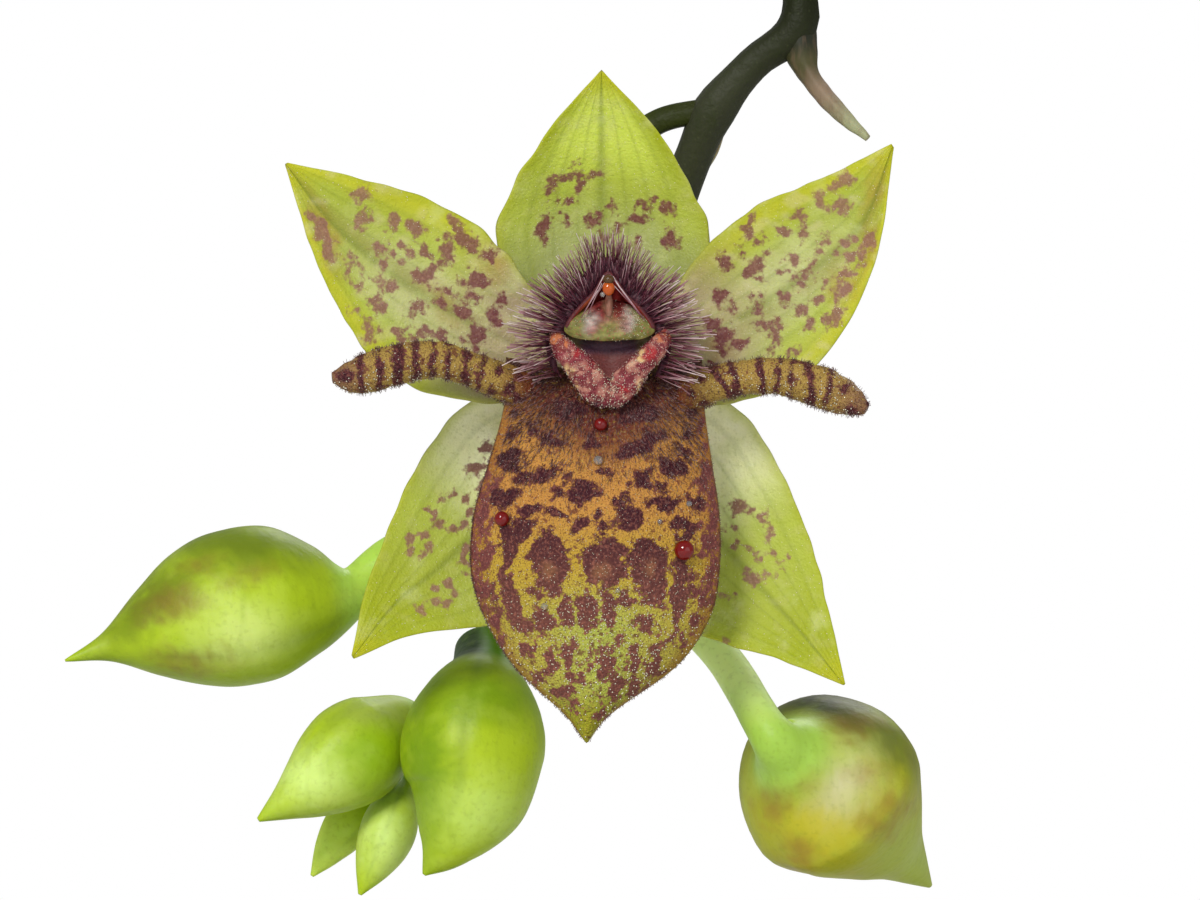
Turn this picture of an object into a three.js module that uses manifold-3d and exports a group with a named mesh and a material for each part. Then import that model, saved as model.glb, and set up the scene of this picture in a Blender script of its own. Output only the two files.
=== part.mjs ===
// Potted fly orchid, Trichoceros antennifer: a plain clay pot of bark, a creeping rhizome with leafy
// growths, pseudobulbs and roots, and one nodding flower stem with an open flower and five buds.
// Millimetres, +Z up. The origin is the centre of the pot's flat foot, and the flower faces -Y.
import * as THREE from "three";
import { mergeVertices } from "three/addons/utils/BufferGeometryUtils.js";
import Module from "manifold-3d";

const wasm = await Module();
wasm.setup();

// Driving dimensions
const GAP = 0.3; // clearance between two pieces that touch
const SLIVER = 0.01; // a cut or join leaves no edge shorter than this
const POT = { height: 72, footRadius: 29, rimRadius: 43, rimDepth: 15, wall: 4, floor: 5, ledge: 2.4 };
const DRAIN = { count: 4, radius: 3, ring: 15 };
const BARK = { top: 62, chips: 34, chip: [10, 6.2, 3] };
const RHIZOME = { radius: 2.1, height: 65.4, wave: 0.3 };
const LEAF = { length: 40, halfWidth: 5.2, thickness: 1.3 };
const FLOWER = new THREE.Vector3(-18, -36, 166); // where the midline of the flower crosses its petals
const PETAL = 0.6; // thickness of a sepal or petal
const STEM = { foot: 1.05, top: 0.78, tip: 0.5 };

const COLOURS = {
  clay: 0xb5653f,
  bark: 0x5b4130,
  leaf: 0x6f8a4a,
  bulb: 0x88944e,
  rhizome: 0x7d7a48,
  root: 0xc9c6b2,
  stem: 0x3a4722,
  bract: 0x9a9478,
  sepal: 0xbcc65c,
  petal: 0xb9b75a,
  lip: 0xa9743a,
  crown: 0x4b2430,
  column: 0xb9857c,
  anther: 0xd46a1c,
  bud: 0xa8c22e,
};
const ROUGHNESS = { clay: 0.9, bark: 0.95, leaf: 0.45, crown: 0.6 };

function material(kind) {
  return new THREE.MeshStandardMaterial({
    color: COLOURS[kind],
    roughness: ROUGHNESS[kind] ?? 0.5,
    metalness: 0,
  });
}

// Small tools
const vec = (x, y, z) => new THREE.Vector3(x, y, z);
const radians = (degrees) => THREE.MathUtils.degToRad(degrees);
const spline = (points) => new THREE.CatmullRomCurve3(points, false, "catmullrom", 0.5);

// A seeded generator, so that every build scatters the bark alike.
function randomFrom(seed) {
  let state = seed;
  return () => {
    state = (state * 1664525 + 1013904223) % 4294967296;
    return state / 4294967296;
  };
}

// The value at s, 0 to 1, of a list of evenly spaced values.
function along(values, s) {
  const place = THREE.MathUtils.clamp(s, 0, 1) * (values.length - 1);
  const index = Math.min(Math.floor(place), values.length - 2);
  return THREE.MathUtils.lerp(values[index], values[index + 1], place - index);
}

// A closed BufferGeometry as a solid, turned the right way out.
function solidOf(geometry) {
  const bare = geometry.clone();
  bare.deleteAttribute("normal");
  bare.deleteAttribute("uv");
  const merged = mergeVertices(bare, 1e-4);
  const corners = new Uint32Array(merged.index.array);
  const build = () =>
    new wasm.Manifold(
      new wasm.Mesh({ numProp: 3, vertProperties: merged.attributes.position.array, triVerts: corners }),
    );
  const made = build();
  if (made.volume() >= 0) return made;
  for (let i = 0; i < corners.length; i += 3) {
    [corners[i + 1], corners[i + 2]] = [corners[i + 2], corners[i + 1]];
  }
  return build();
}

function geometryOf(solid) {
  const { vertProperties, triVerts } = solid.simplify(SLIVER).getMesh();
  return new THREE.BufferGeometry()
    .setAttribute("position", new THREE.BufferAttribute(new Float32Array(vertProperties), 3))
    .setIndex(new THREE.BufferAttribute(new Uint32Array(triVerts), 1));
}

// The largest body of a solid, because a cut can leave a loose scrap.
function mainBody(solid) {
  return solid.decompose().sort((a, b) => b.volume() - a.volume())[0];
}

const join = (solids) => wasm.Manifold.union(solids);

function cut(solid, tools) {
  return mainBody(tools.reduce((left, tool) => left.subtract(tool), solid));
}

// A closed skin over a row of rings that all have the same number of points. The second half of each
// ring splits its quads the other way, so that both faces of a blade are split alike.
function loft(rings) {
  const size = rings[0].length;
  const points = rings.flat();
  const faces = [];
  for (let i = 0; i + 1 < rings.length; i++) {
    for (let j = 0; j < size; j++) {
      const a = i * size + j;
      const b = i * size + ((j + 1) % size);
      const [c, d] = [a + size, b + size];
      if (2 * j < size) faces.push(a, b, d, a, d, c);
      else faces.push(a, b, c, b, d, c);
    }
  }
  for (const [ring, first, turn] of [
    [rings[0], 0, 1],
    [rings[rings.length - 1], (rings.length - 1) * size, 0],
  ]) {
    const middle = points.push(ring.reduce((sum, p) => sum.add(p), vec(0, 0, 0)).divideScalar(size)) - 1;
    for (let j = 0; j < size; j++) {
      const [a, b] = [first + j, first + ((j + 1) % size)];
      faces.push(middle, turn ? b : a, turn ? a : b);
    }
  }
  return solidOf(new THREE.BufferGeometry().setFromPoints(points).setIndex(faces));
}

// A round body along a smooth line, with a list of radii spread evenly along it.
function tube(points, radii, sides = 8, steps = 16, grow = 0) {
  const line = spline(points);
  const { normals, binormals } = line.computeFrenetFrames(steps);
  const rings = normals.map((normal, i) => {
    const centre = line.getPointAt(i / steps);
    const radius = along(radii, i / steps) + grow;
    return Array.from({ length: sides }, (_, j) => {
      const turn = (2 * Math.PI * j) / sides;
      return centre
        .clone()
        .addScaledVector(normal, radius * Math.cos(turn))
        .addScaledVector(binormals[i], radius * Math.sin(turn));
    });
  });
  return loft(rings);
}

function lathe(profile, sides) {
  const outline = profile.map(([r, z]) => new THREE.Vector2(r, z));
  return solidOf(new THREE.LatheGeometry(outline, sides)).rotate([90, 0, 0]);
}

function ellipsoid(centre, radii, across = 12, down = 8) {
  return solidOf(new THREE.SphereGeometry(1, across, down)).scale(radii).translate(centre.toArray());
}

// The flower's own frame: u to its right as seen, v up and w towards whoever looks at it.
const inFlower = (u, v, w) => vec(FLOWER.x + u, FLOWER.y - w, FLOWER.z + v);
const flowerLine = (points) => points.map((p) => inFlower(...p));

// Pot
function bodyRadius(z) {
  const slope = (POT.rimRadius - POT.ledge - POT.footRadius) / POT.height;
  return POT.footRadius + slope * z;
}

function pot() {
  const { height, rimRadius, rimDepth, wall, floor, ledge } = POT;
  const band = height - rimDepth;
  const shell = lathe(
    [
      [0, 0],
      [POT.footRadius - 1, 0],
      [POT.footRadius, 1],
      [bodyRadius(band), band],
      [rimRadius - 1.2, band],
      [rimRadius - 0.5, band + 1],
      [rimRadius, height - 1],
      [rimRadius - 1, height],
      [rimRadius - wall - ledge + 1, height],
      [rimRadius - wall - ledge, height - 1],
      [bodyRadius(band) - wall, band],
      [bodyRadius(floor) - wall, floor],
      [0, floor],
    ],
    36,
  );
  const holes = Array.from({ length: DRAIN.count }, (_, i) => {
    const turn = (2 * Math.PI * (i + 0.5)) / DRAIN.count;
    return solidOf(new THREE.CylinderGeometry(DRAIN.radius, DRAIN.radius, 4 * floor, 16))
      .rotate([90, 0, 0])
      .translate([DRAIN.ring * Math.cos(turn), DRAIN.ring * Math.sin(turn), 0]);
  });
  return cut(shell, holes);
}

// Rhizome, which creeps across the pot with its growths along it
const RHIZOME_LINE = [
  [-29, -7],
  [-21, -1.5],
  [-10, 3],
  [3, 0.5],
  [12, 1.5],
  [21, -1],
  [30, 4],
].map(([x, y], i) => vec(x, y, RHIZOME.height + (i % 2 ? RHIZOME.wave : 0)));

function rhizome(grow = 0) {
  const radii = [0.5, 0.9, 1, 0.92, 1, 0.92, 1, 0.85, 0.35].map((share) => share * RHIZOME.radius);
  return tube(RHIZOME_LINE, radii, 7, 17, grow);
}

// Growths: where each stands on the rhizome, which way its fan of leaves is turned, its size and leaves
const GROWTHS = [
  { x: -22, y: -2.2, yaw: 106, size: 0.72, leaves: 5, topLean: 14 },
  { x: -9.8, y: 3, yaw: 93, size: 0.95, leaves: 6, topLean: 3 },
  { x: 2.8, y: 0.5, yaw: 86, size: 1, leaves: 6, topLean: -4 },
  { x: 18.6, y: -0.6, yaw: 80, size: 1, leaves: 6, topLean: 8 },
];
const NEW_SHOOT = { x: 28.4, y: 3.2, yaw: 66, size: 0.5, leaves: 4 };
const STUB = { rise: 1.7, foot: 2.3, top: 1.9, sink: 1.3 }; // a growth's short stem, and its rise a leaf

// A fleshy leaf, folded along its midrib, that leans out from the growth's stem. Side is -1 or 1.
function leaf({ side, root, height, length, halfWidth, lean, bend }) {
  const widths = [0.5, 0.68, 0.94, 1, 0.86, 0.52, 0.06];
  const folds = [58, 42, 30, 24, 24, 30, 38];
  const rows = widths.length - 1;
  const centre = vec(side * root, 0, height);
  const rings = [];
  for (let i = 0; i <= rows; i++) {
    const s = i / rows;
    const angle = radians(lean + bend * s);
    const up = vec(-side * Math.cos(angle), 0, Math.sin(angle));
    const half = halfWidth * widths[i];
    const fold = radians(folds[i]);
    const thick = LEAF.thickness * (1 - 0.35 * s);
    const across = (t, lift) =>
      centre
        .clone()
        .add(vec(0, half * t * Math.cos(fold), 0))
        .addScaledVector(up, half * Math.abs(t) * Math.sin(fold) + lift);
    rings.push([
      ...[-1, 0, 1].map((t) => across(t, 0.5 * thick * (1 - 0.4 * Math.abs(t)))),
      ...[1, 0, -1].map((t) => across(t, -0.5 * thick * (1 - 0.4 * Math.abs(t)))),
    ]);
    centre.addScaledVector(vec(side * Math.sin(angle), 0, Math.cos(angle)), length / rows);
  }
  return loft(rings);
}

function placed(solid, growth) {
  const foot = RHIZOME.height + RHIZOME.wave + RHIZOME.radius + GAP;
  return solid.rotate([0, 0, growth.yaw]).translate([growth.x, growth.y, foot]);
}

const stubHeight = (growth) => STUB.rise * growth.leaves * Math.sqrt(growth.size);

// The short stem of a growth with its leaves in two ranks, the lowest the shortest and flattest.
function leafFan(growth) {
  const tall = stubHeight(growth);
  const stub = solidOf(new THREE.CylinderGeometry(STUB.top, STUB.foot, tall + STUB.sink, 10))
    .rotate([90, 0, 0])
    .translate([0, 0, (tall - STUB.sink) / 2]);
  const blades = Array.from({ length: growth.leaves }, (_, i) => {
    const rise = (i + 0.2) / growth.leaves;
    return leaf({
      side: i % 2 ? 1 : -1,
      root: 1.1 + rise * growth.size,
      height: 0.9 + rise * (tall - 2.2),
      length: LEAF.length * growth.size * (0.5 + 0.5 * rise),
      halfWidth: LEAF.halfWidth * growth.size * (0.82 + 0.18 * rise),
      lean: 62 - 34 * rise,
      bend: 22 - 10 * rise,
    });
  });
  return cut(placed(join([stub, ...blades]), growth), [rhizome(GAP)]);
}

// The pseudobulb that stands on the short stem between its leaves, with the one leaf on its top.
function pseudobulb(growth) {
  const k = Math.sqrt(growth.size);
  const foot = stubHeight(growth) + GAP;
  const tall = 11 * k;
  const profile = [
    [0, 0],
    [1.5, 0],
    [2.35, 0.2],
    [2.7, 0.42],
    [2.3, 0.7],
    [1.3, 0.92],
    [0, 1],
  ].map(([r, z]) => [r * k, z * tall]);
  const bulb = lathe(profile, 9).scale([0.86, 1, 1]).translate([0, 0, foot]);
  const top = leaf({
    side: 1,
    root: 0,
    height: foot + tall - 1.9,
    length: LEAF.length * growth.size * 0.86,
    halfWidth: LEAF.halfWidth * growth.size * 0.9,
    lean: growth.topLean,
    bend: 16,
  });
  return placed(join([bulb, top]), growth);
}

// Roots: the first climbs over the rim and hangs outside, the others run over the bark and dive into it
const OVER_RIM = POT.height + 2;
const ROOTS = [
  [
    [-27, -6, 65],
    [-30.2, -9.8, 69],
    [-33, -13.4, OVER_RIM - 0.4],
    [-36.6, -16.8, OVER_RIM],
    [-39.6, -18.6, OVER_RIM - 0.8],
    [-40.7, -18.6, 69.6],
    [-40.8, -18.6, 61],
    [-38.8, -20, 50],
    [-38.6, -17.8, 39],
    [-36.8, -18.4, 29],
  ],
  [
    [-14, 2.4, 64.6],
    [-16, 9, 65.2],
    [-12, 17, 65],
    [-14, 25, 64.6],
    [-10, 31, 63],
    [-9, 32.5, 58],
  ],
  [
    [8, 0, 64.4],
    [9.5, -8, 65.6],
    [15, -13, 65],
    [15, -20, 64.6],
    [19, -24, 63],
    [20, -24.6, 57],
  ],
  [
    [25, 1, 64.6],
    [26, 8, 65.4],
    [20, 15, 65],
    [21, 20, 64.4],
    [17, 24.6, 62.6],
    [16, 26, 57],
  ],
].map((line) => line.map((p) => vec(...p)));

const ROOT_RADII = [1, 1.1, 1.05, 1.1, 1, 1.05, 0.95, 0.6];

const root = (line, grow = 0) => tube(line, ROOT_RADII, 6, line.length + 6, grow);

// Flower stem. Its upper part hangs and turns a little at each node, behind the flower.
const NODES = {
  spent: [8, 14.9, -8],
  open: [4.6, 11.5, -8.5],
  left: [-1.32, -2.8, -10],
  right: [-2, -5.5, -10.1],
  big: [-4.9, -11, -9.6],
};
const STEM_LINE = [
  ...[
    [11.4, 1.4, 66.2],
    [11.6, -0.6, 76],
    [12.5, -3, 94],
    [14.6, -4.4, 120],
    [15.6, -5.4, 148],
    [14.6, -7, 172],
    [11, -10.4, 190],
    [3.6, -16.6, 200.6],
    [-4.6, -23.2, 198],
    [-9.2, -27.2, 189.6],
  ].map((p) => vec(...p)),
  ...flowerLine([
    [8.1, 17.6, -8.1],
    NODES.spent,
    [6.2, 13.4, -8.2],
    NODES.open,
    [3.7, 9.5, -9],
    [2.9, 7.4, -9.7],
    [1.4, 3, -10.4],
    NODES.left,
    NODES.right,
    NODES.big,
    [-5.6, -12.8, -10],
    [-7.3, -14.8, -10.9],
    [-8.3, -16.6, -11.1],
  ]),
];
// Where the stem's three clasping sheaths start, as shares of its length
const SHEATHS = [0.12, 0.28, 0.44];
const SHEATH = { share: 0.045, radii: [0.9, 1.35, 1.4, 1.3, 1.2] };

const STEM_RADII = Array.from({ length: 12 }, (_, i) => {
  if (i < 8) return THREE.MathUtils.lerp(STEM.foot, STEM.top, i / 7);
  return THREE.MathUtils.lerp(STEM.top, STEM.tip, (i - 7) / 4);
});

const flowerStemCore = (grow = 0) => tube(STEM_LINE, STEM_RADII, 7, 46, grow);

function flowerStem() {
  const line = spline(STEM_LINE);
  const sheaths = SHEATHS.map((start) => {
    const points = [0, 0.33, 0.66, 1].map((s) => line.getPointAt(start + s * SHEATH.share));
    return tube(points, SHEATH.radii, 7, 4);
  });
  return join([flowerStemCore(), ...sheaths]);
}

// A thin blade between a left edge, a rib and a right edge, each a list of [u, v, w]. Bulge lifts the
// blade between its rib and its edges, towards the viewer where it is positive.
function blade({ left, rib, right, bulge = 0 }, rows = 8, half = 3, thickness = PETAL) {
  const [edgeA, middle, edgeB] = [left, rib, right].map((edge) => spline(flowerLine(edge)));
  const rings = [];
  for (let i = 0; i <= rows; i++) {
    const s = i / rows;
    const centre = middle.getPoint(s);
    const row = [];
    for (let j = -half; j <= half; j++) {
      const t = Math.abs(j) / half;
      const edge = (j < 0 ? edgeA : edgeB).getPoint(s);
      const point = centre.clone().lerp(edge, t);
      point.y -= bulge * centre.distanceTo(edge) * 4 * t * (1 - t);
      row.push(point);
    }
    const front = row.map((p) => p.clone().add(vec(0, -thickness / 2, 0)));
    const back = row.map((p) => p.clone().add(vec(0, thickness / 2, 0)));
    rings.push([...front, ...back.reverse()]);
  }
  return loft(rings);
}

// Sepals are the back layer and petals the next: each list runs from the middle of the flower to a tip
const TEPALS = {
  dorsal_sepal: {
    left: [
      [-0.5, 0.95, -1], [-3.1, 3, -1.4], [-4.3, 5.6, -1.5], [-3.8, 7.7, -1.3],
      [-2.1, 10.4, -0.6], [-0.2, 12.5, 0.2],
    ],
    rib: [
      [0, 0.9, -1], [0, 3.2, -2], [-0.05, 5.8, -2.4], [-0.1, 8.2, -2],
      [-0.1, 10.6, -1], [-0.1, 12.6, 0.2],
    ],
    right: [
      [0.5, 0.95, -1], [3.1, 3, -1.4], [4.25, 5.6, -1.5], [3.7, 7.6, -1.3],
      [2.2, 10.1, -0.6], [0, 12.5, 0.2],
    ],
    bulge: -0.08,
  },
  left_sepal: {
    left: [
      [-1.1, -0.45, -1], [-5.2, -0.6, -1.3], [-7.3, -2.9, -1.5], [-8.6, -5.6, -1.4],
      [-9.6, -8.4, -0.8], [-10.1, -10.8, 0],
    ],
    rib: [
      [-0.7, -0.9, -1], [-2.7, -3.2, -1.9], [-4.8, -5.6, -2.2], [-6.6, -7.3, -1.9],
      [-8.4, -8.8, -1.2], [-10.05, -10.9, 0],
    ],
    right: [
      [-0.35, -1.3, -1], [-1, -5, -1.4], [-2.6, -8.6, -1.6], [-5, -9.7, -1.3],
      [-7.6, -10, -0.8], [-10, -10.95, 0],
    ],
    bulge: -0.08,
  },
  right_sepal: {
    left: [
      [0.35, -1.3, -1], [1, -5, -1.4], [2.2, -9, -1.6], [4.6, -10.3, -1.3],
      [7, -11, -0.8], [9.55, -12, 0],
    ],
    rib: [
      [0.7, -0.9, -1], [2.5, -3.3, -1.9], [4.4, -5.9, -2.2], [6.2, -8, -1.9],
      [7.9, -9.9, -1.2], [9.6, -12, 0],
    ],
    right: [
      [1.1, -0.45, -1], [5, -0.7, -1.3], [7.2, -3.6, -1.5], [8.5, -6.9, -1.4],
      [9.1, -9.4, -0.8], [9.65, -11.95, 0],
    ],
    bulge: -0.08,
  },
  left_petal: {
    left: [
      [-0.95, -0.2, 0.05], [-4.2, -0.75, 0.2], [-7.4, -0.2, 0.3], [-9.7, 1.6, 0.4],
      [-11.5, 5, 0.6], [-12.7, 8.72, 1],
    ],
    rib: [
      [-0.9, 0.3, 0.05], [-3.4, 1.5, -0.1], [-6.1, 2.9, -0.3], [-8.6, 4.5, -0.2],
      [-10.9, 6.5, 0.3], [-12.7, 8.8, 1],
    ],
    right: [
      [-0.7, 0.75, 0.05], [-2.7, 3.6, 0.1], [-4.3, 5.7, 0.1], [-6.6, 7.2, 0.2],
      [-9.6, 8.2, 0.6], [-12.6, 8.85, 1],
    ],
    bulge: -0.06,
  },
  right_petal: {
    left: [
      [0.7, 0.75, 0.05], [2.5, 3.4, 0.1], [4, 5.4, 0.1], [6, 7.1, 0.2],
      [8.8, 8.3, 0.6], [11.45, 9.6, 1],
    ],
    rib: [
      [0.9, 0.3, 0.05], [3.4, 1.6, -0.1], [6, 3, -0.3], [8.6, 4.8, -0.2],
      [10.4, 6.6, 0.3], [11.5, 9.5, 1],
    ],
    right: [
      [0.95, -0.2, 0.05], [4.2, -0.8, 0.2], [6.8, -0.3, 0.3], [8.9, 1.2, 0.4],
      [10.8, 4.8, 0.6], [11.55, 9.45, 1],
    ],
    bulge: -0.06,
  },
};

// The ovary and its stalk, which carry the flower. A short pin at the front passes between the petals.
const OVARY_LINE = flowerLine([
  NODES.open,
  [2.2, 10.95, -8.9],
  [0.5, 9.3, -9.1],
  [-0.1, 5.6, -8],
  [0, 2, -5.2],
  [0, 0.6, -3.2],
  [0, 0.3, -1.9],
]);
const PIN = inFlower(0, 0.3, -0.9); // the pin's centre

function ovary() {
  const stalk = tube(OVARY_LINE, [0.5, 0.52, 0.56, 0.62, 0.78, 0.95, 1.15], 8, 13);
  const pin = solidOf(new THREE.CylinderGeometry(0.4, 0.4, 2.4, 8)).translate(PIN.toArray());
  return cut(join([stalk, pin]), [flowerStemCore(GAP)]);
}

// Lip: the shield-shaped middle lobe, the two side lobes like feelers, and the forked callus at its head
const LIP = {
  left: [
    [-3.9, 1.1, 1.1], [-4, -0.9, 1.1], [-4.6, -3.1, 1.2], [-5.2, -5.2, 1.3], [-5.3, -7.4, 1.4],
    [-4.75, -9.3, 1.3], [-3.5, -11.3, 1.2], [-1.9, -12.9, 1.2], [-0.8, -14.2, 1.4],
  ],
  rib: [
    [0, -0.35, 1.2], [0, -1.7, 1.8], [-0.1, -3.3, 2.5], [-0.2, -5.2, 3], [-0.3, -7.3, 3.1],
    [-0.4, -9.2, 2.9], [-0.5, -11.2, 2.4], [-0.6, -12.8, 1.8], [-0.7, -14.25, 1.4],
  ],
  right: [
    [3.9, 1.1, 1.1], [4, -0.9, 1.1], [4.3, -3.1, 1.2], [4.6, -5.2, 1.3], [4.6, -7.4, 1.4],
    [4.2, -9.3, 1.3], [2.9, -11.2, 1.2], [0.7, -12.9, 1.2], [-0.6, -14.2, 1.4],
  ],
  bulge: 0.08,
};
const FEELERS = {
  left: [
    [-2.9, -0.2, 1.4], [-4.6, 0.35, 1.9], [-6.5, 0.95, 2.5], [-8.3, 0.75, 3],
    [-9.6, 0.35, 3.3], [-10.5, 0.25, 3.5],
  ],
  right: [
    [2.9, -0.3, 1.4], [4.6, 0.1, 1.9], [6.5, 0.35, 2.5], [8.2, 0, 3],
    [9.5, -0.55, 3.3], [10.25, -1, 3.5],
  ],
};
const FEELER_RADII = [0.85, 0.8, 0.7, 0.68, 0.74, 0.8, 0.78, 0.4];
const FORK = {
  left: [[0.1, -1.1, 1.8], [-0.5, -0.3, 2.4], [-1.2, 0.7, 2.8], [-1.95, 1.75, 3.1]],
  right: [[0.2, -1.1, 1.8], [0.9, -0.3, 2.4], [1.7, 0.7, 2.8], [2.45, 1.8, 3.1]],
};
const FORK_RADII = [0.85, 0.62, 0.54, 0.52, 0.4];

const forkArm = (arm, grow) => tube(flowerLine(arm), FORK_RADII, 6, 5, grow);
const forkArms = (grow = 0) => Object.values(FORK).map((arm) => forkArm(arm, grow));

function lip() {
  const feelers = Object.values(FEELERS).map((line) => tube(flowerLine(line), FEELER_RADII, 8, 10));
  return join([blade(LIP, 11, 3, 0.7), ...feelers, ...forkArms()]);
}

// Column: a short hood over a hollow, with a peak at the top. Rings go from the flower out to its front.
const COLUMN_RINGS = [
  { w: 0.65, side: 1.3, up: 1.4, down: 1.2 },
  { w: 1.4, side: 1.5, up: 1.7, down: 1.25 },
  { w: 2.2, side: 1.62, up: 2.1, down: 1.25 },
  { w: 2.9, side: 1.72, up: 2.5, down: 1.2 },
  { w: 3.5, side: 1.6, up: 2.4, down: 1.1 },
];
const COLUMN_AXIS = { u: 0.2, v: 1.9 };
const COLUMN_SIDES = 14;
const HOLLOW = { v: 1.5, w: 3.65, radii: [1.15, 1.1, 0.6] };

function column() {
  const rings = COLUMN_RINGS.map(({ w, side, up, down }) =>
    Array.from({ length: COLUMN_SIDES }, (_, j) => {
      const turn = (2 * Math.PI * j) / COLUMN_SIDES;
      const [across, rise] = [Math.cos(turn), Math.sin(turn)];
      const lift = rise * (rise > 0 ? up : down);
      return inFlower(COLUMN_AXIS.u + side * across, COLUMN_AXIS.v + lift, w);
    }),
  );
  const hollow = ellipsoid(inFlower(COLUMN_AXIS.u, HOLLOW.v, HOLLOW.w), HOLLOW.radii);
  return cut(loft(rings), [hollow, ...forkArms(GAP)]);
}

const ANTHER = { place: [0.18, 3.75, 4.25], radii: [0.3, 0.38, 0.44] };

const antherCap = () => ellipsoid(inFlower(...ANTHER.place), ANTHER.radii, 10, 6);

// Bristle crown: a horseshoe ridge round the column with stiff bristles that stand out from it
const CROWN = { reach: [2.6, 2.6], from: -46, to: 226, low: 3.1, high: 1.6, radius: 0.45 };
const BRISTLE = { length: 1.75, radius: 0.17, stations: 22, leans: [4, 30, 56] };

function crownPoint(degrees) {
  const turn = radians(degrees);
  const lift = THREE.MathUtils.lerp(CROWN.low, CROWN.high, (Math.sin(turn) + 1) / 2);
  const [across, rise] = [CROWN.reach[0] * Math.cos(turn), CROWN.reach[1] * Math.sin(turn)];
  return inFlower(COLUMN_AXIS.u + across, COLUMN_AXIS.v + rise, lift);
}

function bristleCrown() {
  const { from, to, radius } = CROWN;
  const angle = (s) => from + (to - from) * s;
  const ridge = tube(
    Array.from({ length: 13 }, (_, i) => crownPoint(angle(i / 12))),
    [0.3, radius, radius, radius, radius, radius, 0.3],
    7,
    16,
  );
  const bristles = BRISTLE.leans.flatMap((lean, layer) =>
    Array.from({ length: BRISTLE.stations }, (_, i) => {
      const turn = angle((i + 0.3 + layer / 3) / BRISTLE.stations);
      const out = vec(Math.cos(radians(turn)), 0, Math.sin(radians(turn)));
      const aim = out.multiplyScalar(Math.cos(radians(lean))).add(vec(0, -Math.sin(radians(lean)), 0));
      const spin = new THREE.Quaternion().setFromUnitVectors(vec(0, 1, 0), aim);
      const cone = new THREE.ConeGeometry(BRISTLE.radius, BRISTLE.length, 3)
        .translate(0, BRISTLE.length / 2 + 0.15, 0)
        .applyQuaternion(spin)
        .translate(...crownPoint(turn).toArray());
      return solidOf(cone);
    }),
  );
  return cut(join([ridge, ...bristles]), forkArms(GAP));
}

// Buds: the line of each runs from its node along the stalk and through the bud to its tip, and the
// radii are spread evenly along it
const BUDS = {
  left_bud: {
    line: [
      NODES.left, [-5.4, -4.9, -8.8], [-9.2, -7.1, -7.7], [-10.8, -8.3, -7.2],
      [-14.6, -9.1, -6.5], [-18.2, -9.9, -5.8], [-22, -11.2, -5],
    ],
    radii: [0.5, 0.6, 0.7, 0.82, 0.9, 0.95, 2.3, 3.15, 3.2, 2.75, 1.9, 1.1, 0.45, 0.05],
  },
  right_bud: {
    line: [
      NODES.right, [0.9, -7.9, -9.2], [4.2, -10.8, -7.4], [7.4, -14.4, -5.4],
      [9.6, -16.7, -7.6], [11.7, -18.8, -10.2], [13.8, -20.9, -13],
    ],
    radii: [0.5, 0.6, 0.75, 0.85, 0.9, 0.95, 1, 3, 3.8, 3.9, 3.4, 2.3, 1.1, 0.1],
  },
  big_bud: {
    line: [
      NODES.big, [-5, -12, -8], [-5.5, -13.5, -6.4], [-5.6, -15.5, -5.9],
      [-5.7, -17.4, -5.6], [-6.6, -19, -5.3], [-7.35, -19.95, -5.1],
    ],
    radii: [0.5, 0.7, 1.8, 2.65, 2.95, 2.85, 2.5, 1.9, 1.1, 0.1],
  },
  middle_bud: {
    line: [
      [-7.1, -14.2, -10.8], [-8.3, -13.9, -9.5], [-9.6, -14.6, -8.6], [-11, -15.6, -7.8],
      [-12.6, -16.8, -7.1], [-14.2, -17.8, -6.6],
    ],
    radii: [0.4, 0.7, 1.4, 2, 2.15, 1.9, 1.35, 0.7, 0.1],
  },
  small_bud: {
    line: [
      [-8.3, -16.4, -10.6], [-8.6, -17.3, -9.6], [-9, -18.5, -9], [-9.5, -19.7, -8.6],
      [-10.1, -21, -8.3],
    ],
    radii: [0.4, 0.8, 1.15, 1.1, 0.7, 0.08],
  },
  tip_bud: {
    line: [
      [-8.5, -16.8, -11.4], [-9.4, -17.2, -11.8], [-10.4, -17.9, -11.6], [-11.2, -18.8, -11.2],
      [-11.9, -19.9, -10.8],
    ],
    radii: [0.4, 0.75, 1.05, 0.95, 0.6, 0.08],
  },
};

function bud({ line, radii }) {
  const sides = line.length > 6 ? 10 : 8;
  return cut(tube(flowerLine(line), radii, sides, 2 * line.length), [flowerStemCore(GAP)]);
}

// What an older flower left: its bract rolled round the stub of its stalk
const SPENT = {
  line: [
    [8.2, 14.4, -7.6], [8.2, 13.3, -7.5], [8.7, 12.5, -7.3],
    [9.4, 11.6, -7], [10.1, 10.9, -6.8], [10.85, 10.2, -6.6],
  ],
  radii: [0.62, 0.5, 0.36, 0.36, 0.3, 0.14],
};

// Bracts: a small pointed scale at each node of the stem
const BRACTS = {
  open_bract: [[4.5, 10.9, -9.5], [4.1, 9.9, -10], [3.6, 8.8, -10.4], [3.1, 7.8, -10.8]],
  left_bract: [[-2, -2.2, -11], [-3, -3, -11.4], [-4.2, -3.6, -11.5], [-5.4, -4.4, -11.3]],
  right_bract: [[-1, -5.8, -11.1], [-0.2, -6.9, -11.4], [0.5, -8, -11.4], [1, -9.2, -11.1]],
};
const BRACT_HALF_WIDTHS = [0.6, 0.65, 0.42, 0.06];

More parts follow.
